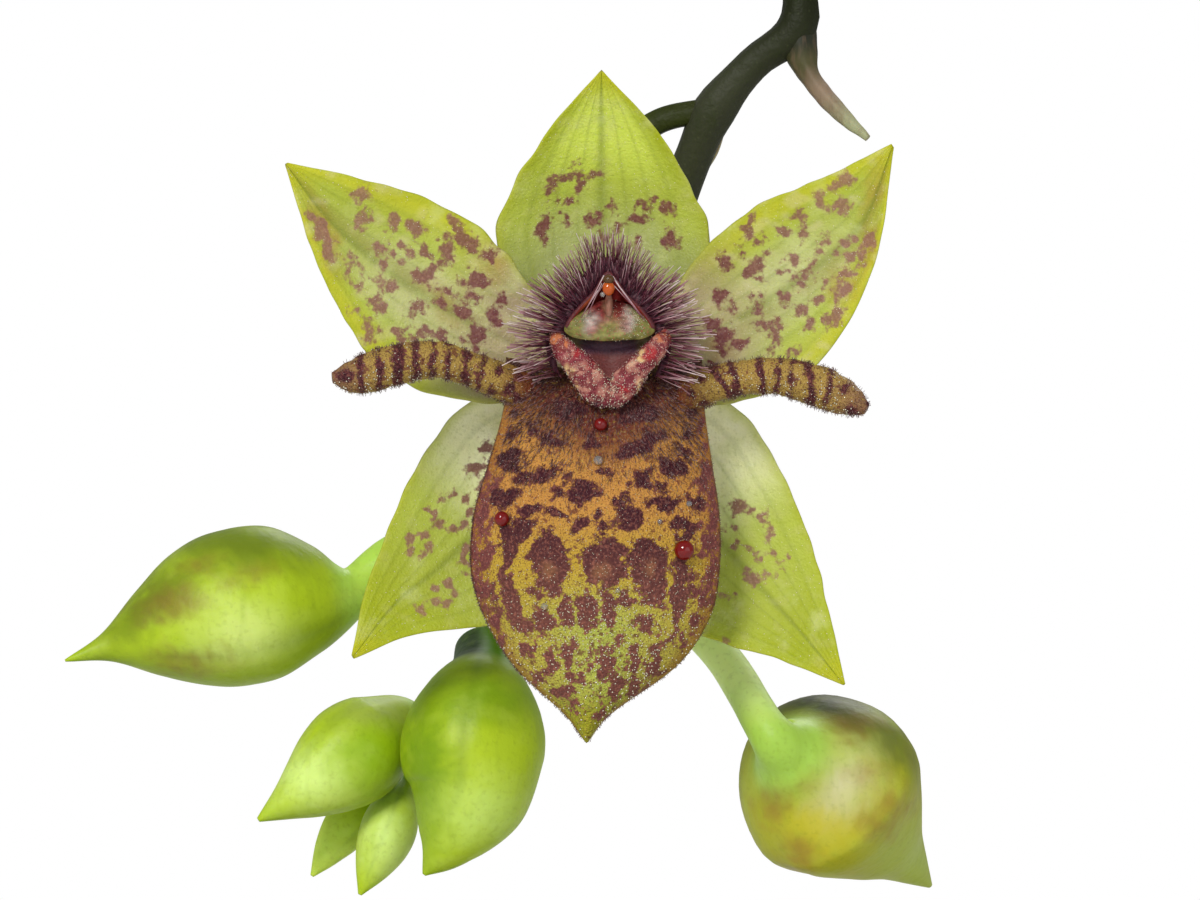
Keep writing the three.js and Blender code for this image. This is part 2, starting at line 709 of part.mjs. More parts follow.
function bract(line) {
  const offset = (p, i, side) => {
    const [before, after] = [line[Math.max(i - 1, 0)], line[Math.min(i + 1, line.length - 1)]];
    const run = vec(after[0] - before[0], after[1] - before[1], 0).normalize();
    const half = side * BRACT_HALF_WIDTHS[i];
    return [p[0] - run.y * half, p[1] + run.x * half, p[2] + 0.25];
  };
  const shape = {
    left: line.map((p, i) => offset(p, i, 1)),
    rib: line,
    right: line.map((p, i) => offset(p, i, -1)),
  };
  return cut(blade(shape, 5, 1), [flowerStemCore(GAP)]);
}

// Bark: one bed that fills the pot, with chips on its top and holes for what stands in it
function barkMix() {
  const { wall, floor } = POT;
  const inside = (z) => bodyRadius(z) - wall - GAP;
  const bed = lathe(
    [
      [0, floor + GAP],
      [inside(floor), floor + GAP],
      [inside(BARK.top - 6), BARK.top - 6],
      [inside(BARK.top - 6), BARK.top - 1],
      [0, BARK.top],
    ],
    40,
  );
  const random = randomFrom(11);
  const chips = Array.from({ length: BARK.chips }, (_, i) => {
    const ring = Math.sqrt((i + 0.5) / BARK.chips) * (inside(BARK.top - 6) - 5);
    const turn = i * radians(137.5);
    const scale = 0.75 + 0.5 * random();
    const tilt = [24 * (random() - 0.5), 24 * (random() - 0.5), 360 * random()];
    return solidOf(new THREE.BoxGeometry(...BARK.chip.map((side) => side * scale)))
      .rotate(tilt)
      .translate([ring * Math.cos(turn), ring * Math.sin(turn), BARK.top + 0.2 + 0.9 * random()]);
  });
  const holes = [rhizome(GAP), flowerStemCore(GAP), ...ROOTS.map((line) => root(line, GAP))];
  return cut(join([bed, ...chips]), holes);
}

// Assembly
const plant = new THREE.Group();

function add(name, kind, solid) {
  const mesh = new THREE.Mesh(geometryOf(solid), material(kind));
  mesh.name = name;
  plant.add(mesh);
}

add("pot", "clay", pot());
add("bark_mix", "bark", barkMix());
add("rhizome", "rhizome", rhizome());
ROOTS.forEach((line, i) => add(`root_${i + 1}`, "root", cut(root(line), [rhizome(GAP)])));
GROWTHS.forEach((growth, i) => {
  add(`leaf_fan_${i + 1}`, "leaf", leafFan(growth));
  add(`pseudobulb_${i + 1}`, "bulb", pseudobulb(growth));
});
add("new_shoot", "leaf", leafFan(NEW_SHOOT));
add("flower_stem", "stem", cut(flowerStem(), [rhizome(GAP)]));
add("spent_bract", "bract", cut(tube(flowerLine(SPENT.line), SPENT.radii, 8, 10), [flowerStemCore(GAP)]));
for (const [name, line] of Object.entries(BRACTS)) add(name, "bract", bract(line));
add("ovary", "stem", ovary());
for (const [name, shape] of Object.entries(TEPALS)) add(name, name.split("_")[1], blade(shape));
add("lip", "lip", lip());
add("column", "column", column());
add("anther_cap", "anther", antherCap());
add("bristle_crown", "crown", bristleCrown());
for (const [name, shape] of Object.entries(BUDS)) add(name, "bud", bud(shape));

export default plant;
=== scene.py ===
# Potted fly orchid: the finished look of the plant, its pot and its one open flower.
import math

import bpy
import numpy as np
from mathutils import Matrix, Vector


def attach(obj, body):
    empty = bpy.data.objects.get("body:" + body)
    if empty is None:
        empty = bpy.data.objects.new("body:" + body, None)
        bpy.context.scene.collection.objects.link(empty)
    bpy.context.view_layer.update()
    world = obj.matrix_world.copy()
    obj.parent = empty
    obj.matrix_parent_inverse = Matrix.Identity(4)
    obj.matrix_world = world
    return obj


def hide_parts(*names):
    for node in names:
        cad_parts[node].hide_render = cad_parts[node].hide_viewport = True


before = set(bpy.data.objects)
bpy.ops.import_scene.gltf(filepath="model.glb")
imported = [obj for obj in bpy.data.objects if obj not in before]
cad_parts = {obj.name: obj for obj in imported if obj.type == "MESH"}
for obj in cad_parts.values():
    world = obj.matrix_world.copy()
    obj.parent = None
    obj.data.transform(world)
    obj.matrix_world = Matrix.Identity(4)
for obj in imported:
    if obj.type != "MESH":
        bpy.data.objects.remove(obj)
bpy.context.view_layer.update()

MM = 0.001  # points are worked out in millimetres and stored in metres

# The flower's own frame, in millimetres: u to its right as seen, v up, w towards whoever looks at it
FLOWER = (-18, -36, 166)
# The photograph's view of the flower: 1200 by 900 pixels, each 0.04 mm at the flower, seen from 240 mm
PICTURE = {"middle": (600, 450), "pixel": 0.04, "eye": 240, "aim": (-0.16, -2.6)}


# Lines, rings and fields, as rows of numbers

def at(points):
    """Points given in the flower's frame, as rows of x, y, z."""
    p = np.asarray(points, float)
    return np.stack([FLOWER[0] + p[..., 0], FLOWER[1] - p[..., 2], FLOWER[2] + p[..., 1]], axis=-1)


def in_picture(points):
    """Where each point shows in the photograph."""
    depth = FLOWER[1] - points[..., 1]
    pixel = PICTURE["pixel"] * (PICTURE["eye"] - depth) / PICTURE["eye"]
    x = PICTURE["middle"][0] + (points[..., 0] - FLOWER[0] - PICTURE["aim"][0]) / pixel
    y = PICTURE["middle"][1] - (points[..., 2] - FLOWER[2] - PICTURE["aim"][1]) / pixel
    return x, y


def seen(spots):
    """The points of the flower's frame that show at x, y in the photograph, for rows of x, y, w."""
    x, y, w = np.asarray(spots, float).T
    pixel = PICTURE["pixel"] * (PICTURE["eye"] - w) / PICTURE["eye"]
    u = PICTURE["aim"][0] + (x - PICTURE["middle"][0]) * pixel
    v = PICTURE["aim"][1] + (PICTURE["middle"][1] - y) * pixel
    return np.stack([u, v, w], axis=-1)


def circle(count):
    """Angles all the way round, in count steps."""
    return np.linspace(0, 2 * math.pi, count, endpoint=False)


def evened(line, count, closed=False):
    """The line in count points that are evenly far apart. The last stops short where it is closed."""
    reach = np.r_[0, np.cumsum(np.linalg.norm(np.diff(line, axis=0), axis=1))]
    stops = np.linspace(0, reach[-1], count, endpoint=not closed)
    return np.stack([np.interp(stops, reach, line[:, k]) for k in range(line.shape[1])], axis=1)


def spline(points, count, even=False):
    """A smooth line through the points, in count steps that are evenly long where even is true."""
    p = np.asarray(points, float)
    p = p[:, None] if p.ndim == 1 else p
    p = np.vstack([2 * p[0] - p[1], p, 2 * p[-1] - p[-2]])
    s = np.linspace(0, len(points) - 1, 40 * len(points) if even else count)
    i = np.minimum(s.astype(int), len(points) - 2)
    t = (s - i)[:, None]
    a, b, c, d = p[i], p[i + 1], p[i + 2], p[i + 3]
    line = b + 0.5 * t * (c - a + t * (2 * a - 5 * b + 4 * c - d + t * (3 * b - a - 3 * c + d)))
    return evened(line, count) if even else line


def profile(values, count):
    """A smooth run of sizes through evenly spaced values."""
    return np.maximum(spline(values, count)[:, 0], 0.02)


def unit(rows):
    return rows / np.maximum(np.linalg.norm(rows, axis=-1, keepdims=True), 1e-9)


def smooth(low, high, value):
    """0 below low, 1 above high and an even slope between."""
    t = np.clip((value - low) / (high - low), 0, 1)
    return t * t * (3 - 2 * t)


def ripple(points, size, seed):
    """A soft uneven field of about -1 to 1 whose bumps are about size millimetres wide."""
    random = np.random.default_rng(seed)
    waves = random.normal(size=(14, 3)) / size * 2.2
    phases = random.uniform(0, 2 * math.pi, 14)
    return np.sin(points @ waves.T + phases).sum(axis=-1) / 5


def peak(value, middle, width):
    """1 at the middle and next to nothing at twice the width to either side."""
    return np.exp(-(((value - middle) / width) ** 2))


def hood(angle, middle, width):
    """A bump round an angle, for a ridge or a seam along a tube."""
    return peak(np.angle(np.exp(1j * (angle - middle))), 0, width)


def frames(line):
    """Two directions square to a line at each of its points, turned as little as can be."""
    run = unit(np.gradient(line, axis=0))
    first = np.cross(run[0], [0.3, 0.2, 1] if abs(run[0][2]) < 0.9 else [1, 0, 0])
    sides = [unit(first)]
    for way in run[1:]:
        side = sides[-1] - way * np.dot(sides[-1], way)
        sides.append(unit(side))
    side = np.array(sides)
    return side, np.cross(run, side)


def tube(line, radii, sides, shape=None):
    """Rings round a line. Shape gives the share of the radius by ring and angle."""
    side, across = frames(line)
    turn = circle(sides)
    radius = np.asarray(radii)[:, None] * (1 if shape is None else shape(turn[None, :]))
    round_it = np.cos(turn)[None, :, None] * side[:, None] + np.sin(turn)[None, :, None] * across[:, None]
    return line[:, None] + radius[..., None] * round_it


def roughened(rings, line, depth, size, seed):
    """Rings moved in and out from their line by soft bumps."""
    return rings + unit(rings - line[:, None]) * (depth * ripple(rings, size, seed))[..., None]


def field(rings, values):
    """One value a point for a lofted skin, with the two cap points at the end."""
    spread = np.broadcast_to(values, rings.shape[:2])
    return np.concatenate([spread.ravel(), [spread[0].mean(), spread[-1].mean()]])


def along(rings):
    """The share of the way from the first ring to the last, one value a point."""
    return field(rings, np.linspace(0, 1, len(rings))[:, None])


def shown(rings):
    """Where each point of a lofted skin shows in the photograph."""
    x, y = in_picture(rings)
    return field(rings, x), field(rings, y)


def loft(rings):
    """Points and faces of a closed skin over rings that all have the same number of points."""
    count, size = rings.shape[:2]
    points = np.vstack([rings.reshape(-1, 3), rings[0].mean(axis=0), rings[-1].mean(axis=0)])
    i, j = np.meshgrid(np.arange(count - 1), np.arange(size), indexing="ij")
    a, b = i * size + j, i * size + (j + 1) % size
    quads = np.stack([a, b, b + size, a + size], axis=-1).reshape(-1, 4)
    ring = np.arange(size)
    after = (ring + 1) % size
    last = (count - 1) * size
    first_cap = np.stack([np.full(size, count * size), after, ring], axis=1)
    last_cap = np.stack([np.full(size, count * size + 1), last + ring, last + after], axis=1)
    return points, [quads, first_cap, last_cap]


# Pieces

def outward(points, groups):
    """The faces, turned over where their skin is inside out."""
    volume = 0
    for faces in groups:
        for k in range(1, faces.shape[1] - 1):
            a, b, c = points[faces[:, 0]], points[faces[:, k]], points[faces[:, k + 1]]
            volume += np.einsum("ij,ij->i", a, np.cross(b, c)).sum()
    return [faces if volume > 0 else faces[:, ::-1] for faces in groups]


def linked(name, data):
    """An object of the scene that holds the data."""
    made = bpy.data.objects.new(name, data)
    bpy.context.collection.objects.link(made)
    return made


def settle(name, mesh, node):
    """A mesh as a piece of the plant that stands for a node of the frame."""
    made = linked(name, mesh)
    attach(made, "root")
    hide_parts(node)
    return made


def skin_mesh(name, skin):
    """A mesh in metres from points in millimetres and their faces."""
    points, groups = skin
    mesh = bpy.data.meshes.new(name)
    faces = [face for group in outward(points, groups) for face in group.tolist()]
    mesh.from_pydata((points * MM).tolist(), [], faces)
    return mesh


def store(mesh, key, values):
    """Keeps numbers or colours for the coats: one for each point, or one for all."""
    values = np.asarray(values, float)
    if values.shape in ((), (3,)):
        values = np.full((len(mesh.vertices), *values.shape), values)
    if values.ndim == 2:
        rgba = np.hstack([values, np.ones((len(values), 1))])
        mesh.attributes.new(key, "FLOAT_COLOR", "POINT").data.foreach_set("color", rgba.ravel())
    else:
        mesh.attributes.new(key, "FLOAT", "POINT").data.foreach_set("value", values)


def piece(name, node, slot, material, skin, **fields):
    """A piece from points and faces, with its named fields."""
    mesh = skin_mesh(name, skin)
    for key, values in fields.items():
        store(mesh, key, values)
    mesh.shade_smooth()
    mesh.materials.append(material)
    return settle(name, mesh, node)


def blend(first, second, share):
    """Colours mixed point by point."""
    share = np.asarray(share)[:, None]
    return np.asarray(first) * (1 - share) + np.asarray(second) * share


# Bristles, papillae and chips: one small shape on each point of a cloud, by Geometry Nodes

class Nodes:
    """The nodes of a tree, in short calls."""

    def __init__(self, tree):
        self.tree = tree

    def join(self, value, socket):
        """Links the value where it is another node's output, or else sets it."""
        if isinstance(value, bpy.types.NodeSocket):
            self.tree.links.new(value, socket)
        else:
            socket.default_value = value

    def add(self, kind, settings=None, **sockets):
        """A new node with its settings and its inputs by name, spaces as underscores."""
        node = self.tree.nodes.new(kind)
        for key, value in (settings or {}).items():
            setattr(node, key, value)
        for key, value in sockets.items():
            self.join(value, node.inputs[key.replace("_", " ")])
        return node


class Tree(Nodes):
    """Geometry nodes that set one shape on every point they are given."""

    def __init__(self, name, inputs):
        super().__init__(bpy.data.node_groups.new(name, "GeometryNodeTree"))
        self.tree.interface.new_socket("Points", in_out="INPUT", socket_type="NodeSocketGeometry")
        for key, kind in inputs.items():
            self.tree.interface.new_socket(key, in_out="INPUT", socket_type=f"NodeSocket{kind}")
        self.tree.interface.new_socket("Pieces", in_out="OUTPUT", socket_type="NodeSocketGeometry")
        self.input = self.tree.nodes.new("NodeGroupInput")
        self.output = self.tree.nodes.new("NodeGroupOutput")

    def place(self, shape):
        """Puts the shape on each point, along its aim and as long as its reach, and ends the tree."""
        given = self.input.outputs
        vector = {"data_type": "FLOAT_VECTOR"}
        aim = self.add("GeometryNodeInputNamedAttribute", vector, Name="aim").outputs["Attribute"]
        number = {"data_type": "FLOAT"}
        reach = self.add("GeometryNodeInputNamedAttribute", number, Name="reach").outputs["Attribute"]
        align = self.add("FunctionNodeAlignRotationToVector", {"axis": "Z"}, Vector=aim)
        draw = self.add("FunctionNodeRandomValue", number, Seed=given["Seed"])
        draw.inputs["Max"].default_value = 2 * math.pi
        spin = self.add("FunctionNodeAxisAngleToRotation", Axis=(0, 0, 1), Angle=draw.outputs["Value"])
        turned = self.add("FunctionNodeRotateRotation", {"rotation_space": "LOCAL"})
        self.tree.links.new(align.outputs["Rotation"], turned.inputs["Rotation"])
        self.tree.links.new(spin.outputs["Rotation"], turned.inputs["Rotate By"])
        spread = self.add("GeometryNodeInstanceOnPoints", Points=given["Points"], Instance=shape,
                          Rotation=turned.outputs["Rotation"], Scale=reach)
        real = self.add("GeometryNodeRealizeInstances", Geometry=spread.outputs["Instances"])
        coat = self.add("GeometryNodeSetMaterial", Geometry=real.outputs["Geometry"],
                        Material=given["Coat"])
        self.tree.links.new(coat.outputs["Geometry"], self.output.inputs["Pieces"])
        return self.tree


BRISTLE_TIP = 0.12  # how thick a bristle is at its tip, against its root


def bristle_tree():
    """A bent hair of unit length that thins to its tip and holds its share of the way there."""
    made = Tree("Bristle", {"Thickness": "Float", "Bend": "Float", "Steps": "Int",
                            "Seed": "Int", "Coat": "Material"})
    given = made.input.outputs
    end = made.add("ShaderNodeCombineXYZ", X=given["Bend"], Z=1.0).outputs["Vector"]
    curve = made.add("GeometryNodeCurveQuadraticBezier", Resolution=given["Steps"],
                     Start=(0, 0, 0), Middle=(0, 0, 0.55), End=end)
    share = made.add("GeometryNodeSplineParameter").outputs["Factor"]
    thin = made.add("ShaderNodeMapRange", Value=share)
    thin.inputs["To Min"].default_value, thin.inputs["To Max"].default_value = 1.0, BRISTLE_TIP
    sized = made.add("GeometryNodeSetCurveRadius", Curve=curve.outputs["Curve"],
                     Radius=thin.outputs["Result"])
    kept = made.add("GeometryNodeStoreNamedAttribute", {"data_type": "FLOAT", "domain": "POINT"},
                    Geometry=sized.outputs["Curve"], Name="tip", Value=share)
    section = made.add("GeometryNodeCurvePrimitiveCircle", Resolution=3, Radius=given["Thickness"])
    hair = made.add("GeometryNodeCurveToMesh", Curve=kept.outputs["Geometry"],
                    Profile_Curve=section.outputs["Curve"], Fill_Caps=True)
    return made.place(hair.outputs["Mesh"])


def bead_tree():
    """A small round papilla."""
    made = Tree("Papilla", {"Detail": "Int", "Seed": "Int", "Coat": "Material"})
    ball = made.add("GeometryNodeMeshIcoSphere", Radius=1.0, Subdivisions=made.input.outputs["Detail"])
    return made.place(ball.outputs["Mesh"])


def chip_tree():
    """A broken slab of bark with uneven faces."""
    made = Tree("BarkChip", {"Slab": "Vector", "Seed": "Int", "Coat": "Material"})
    given = made.input.outputs
    slab = made.add("GeometryNodeMeshCube", Size=given["Slab"])
    for key, count in (("Vertices X", 5), ("Vertices Y", 4), ("Vertices Z", 3)):
        slab.inputs[key].default_value = count
    place = made.add("GeometryNodeInputPosition").outputs["Position"]
    rough = made.add("ShaderNodeTexNoise", Vector=place, Scale=3.1, Detail=3.0)
    centred = made.add("ShaderNodeVectorMath", {"operation": "SUBTRACT"})
    made.tree.links.new(rough.outputs["Color"], centred.inputs[0])
    centred.inputs[1].default_value = (0.5, 0.5, 0.5)
    shift = made.add("ShaderNodeVectorMath", {"operation": "SCALE"}, Scale=0.75)
    made.tree.links.new(centred.outputs["Vector"], shift.inputs[0])
    broken = made.add("GeometryNodeSetPosition", Geometry=slab.outputs["Mesh"],
                      Offset=shift.outputs["Vector"])
    return made.place(broken.outputs["Geometry"])


def scatter(name, node, slot, tree, points, aims, reaches, **inputs):
    """The tree's shape on every point, as a plain mesh piece."""
    cloud = bpy.data.meshes.new(name)
    cloud.from_pydata((points * MM).tolist(), [], [])
    cloud.attributes.new("aim", "FLOAT_VECTOR", "POINT").data.foreach_set("vector", unit(aims).ravel())
    store(cloud, "reach", np.asarray(reaches) * MM)
    made = linked(name, cloud)
    work = made.modifiers.new("Scatter", "NODES")
    work.node_group = tree
    for item in tree.interface.items_tree:
        if item.in_out == "INPUT" and item.name in inputs:
            work[item.identifier] = inputs[item.name]
    depsgraph = bpy.context.evaluated_depsgraph_get()
    mesh = bpy.data.meshes.new_from_object(made.evaluated_get(depsgraph))
    bpy.data.objects.remove(made)
    mesh.shade_smooth()
    return settle(name, mesh, node)


BRISTLE = bristle_tree()
PAPILLA = bead_tree()
CHIP = chip_tree()


# Materials

class Coat(Nodes):
    """A shader in short calls. Sizes of noise are in millimetres."""

    def __init__(self, name, roughness=0.5, subsurface=0.0, depth=(1.0, 0.6, 0.3), specular=0.4):
        self.material = bpy.data.materials.new(name)
        self.material.use_nodes = True
        super().__init__(self.material.node_tree)
        self.skin = self.tree.nodes["Principled BSDF"].inputs
        self.skin["Roughness"].default_value = roughness
        self.skin["Specular IOR Level"].default_value = specular
        self.skin["Subsurface Weight"].default_value = subsurface
        self.skin["Subsurface Radius"].default_value = depth
        self.skin["Subsurface Scale"].default_value = MM
        self.place = self.add("ShaderNodeTexCoord").outputs["Object"]

    def noise(self, size, detail=2.0, stretch=None):
        where = self.place
        if stretch:
            where = self.add("ShaderNodeMapping", Vector=where, Scale=stretch).outputs["Vector"]
        made = self.add("ShaderNodeTexNoise", Vector=where, Scale=1 / (size * MM), Detail=detail)
        return made.outputs["Fac"]

    def cells(self, size):
        made = self.add("ShaderNodeTexVoronoi", Vector=self.place, Scale=1 / (size * MM))
        return made.outputs["Distance"]

    def value(self, name):
        return self.add("ShaderNodeAttribute", {"attribute_name": name}).outputs["Fac"]

    def colour(self, name):
        return self.add("ShaderNodeAttribute", {"attribute_name": name}).outputs["Color"]

    def math(self, operation, first, second):
        node = self.add("ShaderNodeMath", {"operation": operation})
        self.join(first, node.inputs[0])
        self.join(second, node.inputs[1])
        return node.outputs["Value"]

    def plus(self, first, second):
        return self.math("ADD", first, second)

    def times(self, first, second):
        return self.math("MULTIPLY", first, second)

    def sway(self, noise, reach):
        """A noise as an offset to both sides of 0."""
        return self.times(self.math("SUBTRACT", noise, 0.5), reach)

    def ragged(self, fine, fine_reach, coarse, coarse_reach):
        """The blotch field, its outline moved about by a fine and a coarse noise."""
        moved = self.plus(self.value("blotch"), self.sway(fine, fine_reach))
        return self.plus(moved, self.sway(coarse, coarse_reach))

    def band(self, value, low, high):
        """0 below low, 1 above high."""
        node = self.add("ShaderNodeMapRange", {"interpolation_type": "SMOOTHSTEP"}, Value=value)
        node.inputs["From Min"].default_value = low
        node.inputs["From Max"].default_value = high
        return node.outputs["Result"]

    def mix(self, first, second, share):
        node = self.add("ShaderNodeMix", {"data_type": "RGBA"})
        for value, number in ((share, 0), (first, 6), (second, 7)):  # the node's sockets for colours
            self.join((*value, 1) if isinstance(value, tuple) else value, node.inputs[number])
        return node.outputs[2]

    def over(self, base, colour, value, low, high, share):
        """The base under a share of the colour, which comes in as the value goes from low to high."""
        return self.mix(base, colour, self.times(self.band(value, low, high), share))

    def shade(self, colour, height=None, depth_mm=0.02):
        """Sets the base colour and, where a height is given, a relief."""
        self.join(colour, self.skin["Base Color"])
        if height is not None:
            bump = self.add("ShaderNodeBump", Height=height, Distance=depth_mm * MM, Strength=1.0)
            self.join(bump.outputs["Normal"], self.skin["Normal"])
        return self.material


def tepal_coat():
    """Sepals and petals: soft green skin, mauve blotches with ragged edges, and fine glistening cells
    painted in as pale dots, a painted highlight.
    """
    coat = Coat("tepal_skin", roughness=0.48, subsurface=0.3, depth=(0.9, 1.1, 0.2), specular=0.22)
    grain = coat.noise(0.16, 3)
    base = coat.over(coat.colour("tint"), (0.56, 0.6, 0.24), coat.noise(1.1, 3), 0.5, 0.8, 0.5)
    base = coat.over(base, (0.27, 0.3, 0.012), grain, 0.5, 0.8, 0.32)
    tone = coat.mix((0.17, 0.045, 0.05), (0.38, 0.2, 0.15), coat.band(coat.noise(0.12, 2), 0.42, 0.72))
    tone = coat.mix(tone, coat.colour("mark"), 0.65)
    outline = coat.ragged(grain, 1.3, coat.noise(0.42, 3), 2.6)
    base = coat.over(base, tone, outline, -0.22, 0.5, coat.value("strength"))
    # painted highlight: pale cell dots laid into the base colour as glints, as strong as the glint field
    base = coat.over(base, (0.8, 0.82, 0.5), coat.cells(0.2), 0.16, 0.02, coat.value("glint"))
    relief = coat.plus(coat.noise(0.1, 2), coat.times(coat.noise(0.5, 2), 1.4))
    return coat.shade(base, relief, 0.04)


def lip_coat():
    """Lip: ochre to yellow-green velvet under dense maroon spots, speckled with pale dots painted in as
    glints, a painted highlight.
    """
    coat = Coat("lip_velvet", roughness=0.42, subsurface=0.05, depth=(0.7, 0.35, 0.15), specular=0.22)
    grain = coat.noise(0.11, 3)
    fine = coat.noise(0.055, 2)
    cells = coat.cells(0.13)
    base = coat.over(coat.colour("tint"), (0.62, 0.44, 0.06), grain, 0.5, 0.75, 0.45)
    base = coat.over(base, (0.09, 0.02, 0.012), fine, 0.52, 0.66, 0.75)
    base = coat.over(base, (0.12, 0.02, 0.02), coat.noise(0.3, 3), 0.58, 0.66, 0.75)
    tone = coat.mix((0.035, 0.004, 0.01), (0.34, 0.12, 0.08), coat.band(grain, 0.46, 0.72))
    tone = coat.mix(tone, coat.colour("mark"), 0.5)
    outline = coat.ragged(grain, 1.9, coat.noise(0.5, 3), 2.2)
    base = coat.mix(base, tone, coat.band(outline, -0.12, 0.45))
    # painted highlight: pale cell dots laid into the base colour as glints
    base = coat.over(base, (0.8, 0.62, 0.5), cells, 0.17, 0.05, coat.value("glint"))
    return coat.shade(base, coat.plus(fine, coat.times(cells, -0.9)), 0.06)


def bud_coat():
    """Buds and their stalks: smooth pale to deep green, stained where the blotch field is high."""
    coat = Coat("bud_skin", roughness=0.45, subsurface=0.22, depth=(0.8, 1.2, 0.1), specular=0.25)
    base = coat.over(coat.colour("tint"), (0.5, 0.62, 0.09), coat.noise(1.6, 2), 0.5, 0.8, 0.3)
    stained = coat.plus(coat.value("blotch"), coat.sway(coat.noise(0.9, 3), 1))
    base = coat.over(base, coat.colour("mark"), stained, -0.3, 1.0, 0.6)
    base = coat.over(base, (0.12, 0.18, 0.005), coat.noise(0.22, 2), 0.5, 0.75, 0.16)
    lines = coat.noise(0.5, 2, stretch=(1, 1, 0.22))
    base = coat.over(base, (0.2, 0.3, 0.01), lines, 0.5, 0.75, 0.16)
    return coat.shade(base, coat.plus(coat.noise(0.3, 2), lines), 0.02)


def green_coat(name, roughness, grain_mm, relief_mm, streak, gloss=0.4, pore=0.18):
    """Stem, ovary, leaves and rhizome: the tint with fine darker streaks and pale pores."""
    coat = Coat(name, roughness=roughness, subsurface=0.12, depth=(0.6, 1.0, 0.2), specular=gloss)
    streaks = coat.noise(grain_mm, 3, stretch=streak)
    base = coat.over(coat.colour("tint"), (0.02, 0.03, 0.006), streaks, 0.5, 0.8, 0.45)
    base = coat.over(base, (0.45, 0.5, 0.25), coat.cells(grain_mm * 0.8), 0.2, 0.05, pore)
    return coat.shade(base, coat.plus(streaks, coat.noise(grain_mm * 0.5, 2)), relief_mm)


def papery_coat():
    """Bracts and sheaths: dry papery skin with upright fibres."""
    coat = Coat("papery_skin", roughness=0.62, subsurface=0.15)
    fibre = coat.noise(0.25, 3, stretch=(1, 1, 0.2))
    base = coat.over(coat.colour("tint"), (0.16, 0.1, 0.06), fibre, 0.45, 0.75, 0.5)
    return coat.shade(base, fibre, 0.04)


def column_coat():
    """Column: waxy skin with fine red flecks."""
    coat = Coat("column_wax", roughness=0.5, subsurface=0.25, depth=(0.7, 0.35, 0.2), specular=0.26)
    flecks = coat.noise(0.09, 3)
    base = coat.over(coat.colour("tint"), (0.4, 0.06, 0.07), flecks, 0.55, 0.72, coat.value("fleck"))
    return coat.shade(base, coat.noise(0.12, 2), 0.05)


def callus_coat():
    """Callus: plushy red and pink patches, with painted shade mixed in by the dark field."""
    coat = Coat("callus_plush", roughness=0.5, subsurface=0.1, depth=(0.5, 0.25, 0.2))
    base = coat.over(coat.colour("tint"), (0.16, 0.008, 0.018), coat.noise(0.3, 4), 0.47, 0.56, 0.85)
    base = coat.over(base, (0.74, 0.44, 0.36), coat.noise(0.08, 2), 0.57, 0.72, 0.6)
    # painted shade, as much as the dark field asks
    base = coat.mix(base, (0.06, 0.014, 0.03), coat.value("dark"))
    return coat.shade(base, coat.noise(0.1, 3), 0.09)


def bristle_coat(name, root, middle, tip):
    """Hairs, coloured from root to tip, with the root's colour again in patches."""
    coat = Coat(name, roughness=0.3, subsurface=0.1, specular=0.6)
    share = coat.value("tip")
    base = coat.mix(root, middle, coat.band(share, 0.1, 0.6))
    base = coat.mix(base, tip, coat.band(share, 0.55, 1.0))
    return coat.shade(coat.over(base, root, coat.noise(0.5, 1), 0.4, 0.65, 0.4))


def drop_coat(name, colour, clear):
    """Nectar drops, glistening cells and the anther's wax."""
    coat = Coat(name, roughness=0.06, subsurface=0.1, specular=0.45)
    coat.skin["Transmission Weight"].default_value = clear
    return coat.shade(coat.mix(colour, tuple(0.8 * part for part in colour), coat.noise(0.2, 1)))


def root_coat():
    """Roots: silvery furred skin."""
    coat = Coat("root_velamen", roughness=0.75, subsurface=0.1)
    fur = coat.noise(0.35, 4)
    base = coat.over(coat.colour("tint"), (0.3, 0.27, 0.18), fur, 0.5, 0.75, 0.6)
    return coat.shade(base, coat.plus(fur, coat.noise(0.12, 2)), 0.08)


def bark_coat(name, dark, light):
    """Bark: layered brown, cracked and weathered grey in places."""
    coat = Coat(name, roughness=0.92, specular=0.2)
    layer = coat.noise(1.3, 5, stretch=(1, 1, 2.2))
    crack = coat.band(coat.noise(0.5, 4, stretch=(1, 0.3, 1)), 0.42, 0.62)
    base = coat.mix(dark, light, coat.band(layer, 0.38, 0.7))
    base = coat.mix(base, tuple(0.35 * part for part in dark), coat.times(crack, 0.5))
    base = coat.over(base, (0.33, 0.27, 0.2), coat.noise(2.4, 3), 0.58, 0.72, 0.5)
    return coat.shade(base, coat.plus(layer, crack), 0.35)


def clay_coat():
    """Unglazed clay with lime bloom, damp at its foot and worn pale along its rim."""
    coat = Coat("terracotta", roughness=0.88, specular=0.25)
    grain = coat.noise(0.6, 4)
    base = coat.mix((0.43, 0.155, 0.075), (0.57, 0.24, 0.13), coat.band(coat.noise(16, 5), 0.35, 0.7))
    base = coat.over(base, (0.3, 0.1, 0.05), grain, 0.5, 0.72, 0.4)
    base = coat.over(base, (0.66, 0.5, 0.4), coat.noise(9, 6), 0.52, 0.8, coat.value("bloom"))
    base = coat.mix(base, (0.2, 0.085, 0.05), coat.times(coat.value("damp"), 0.75))
    rings = coat.noise(1.2, 3, stretch=(0.05, 0.05, 1))
    return coat.shade(base, coat.plus(grain, rings), 0.16)


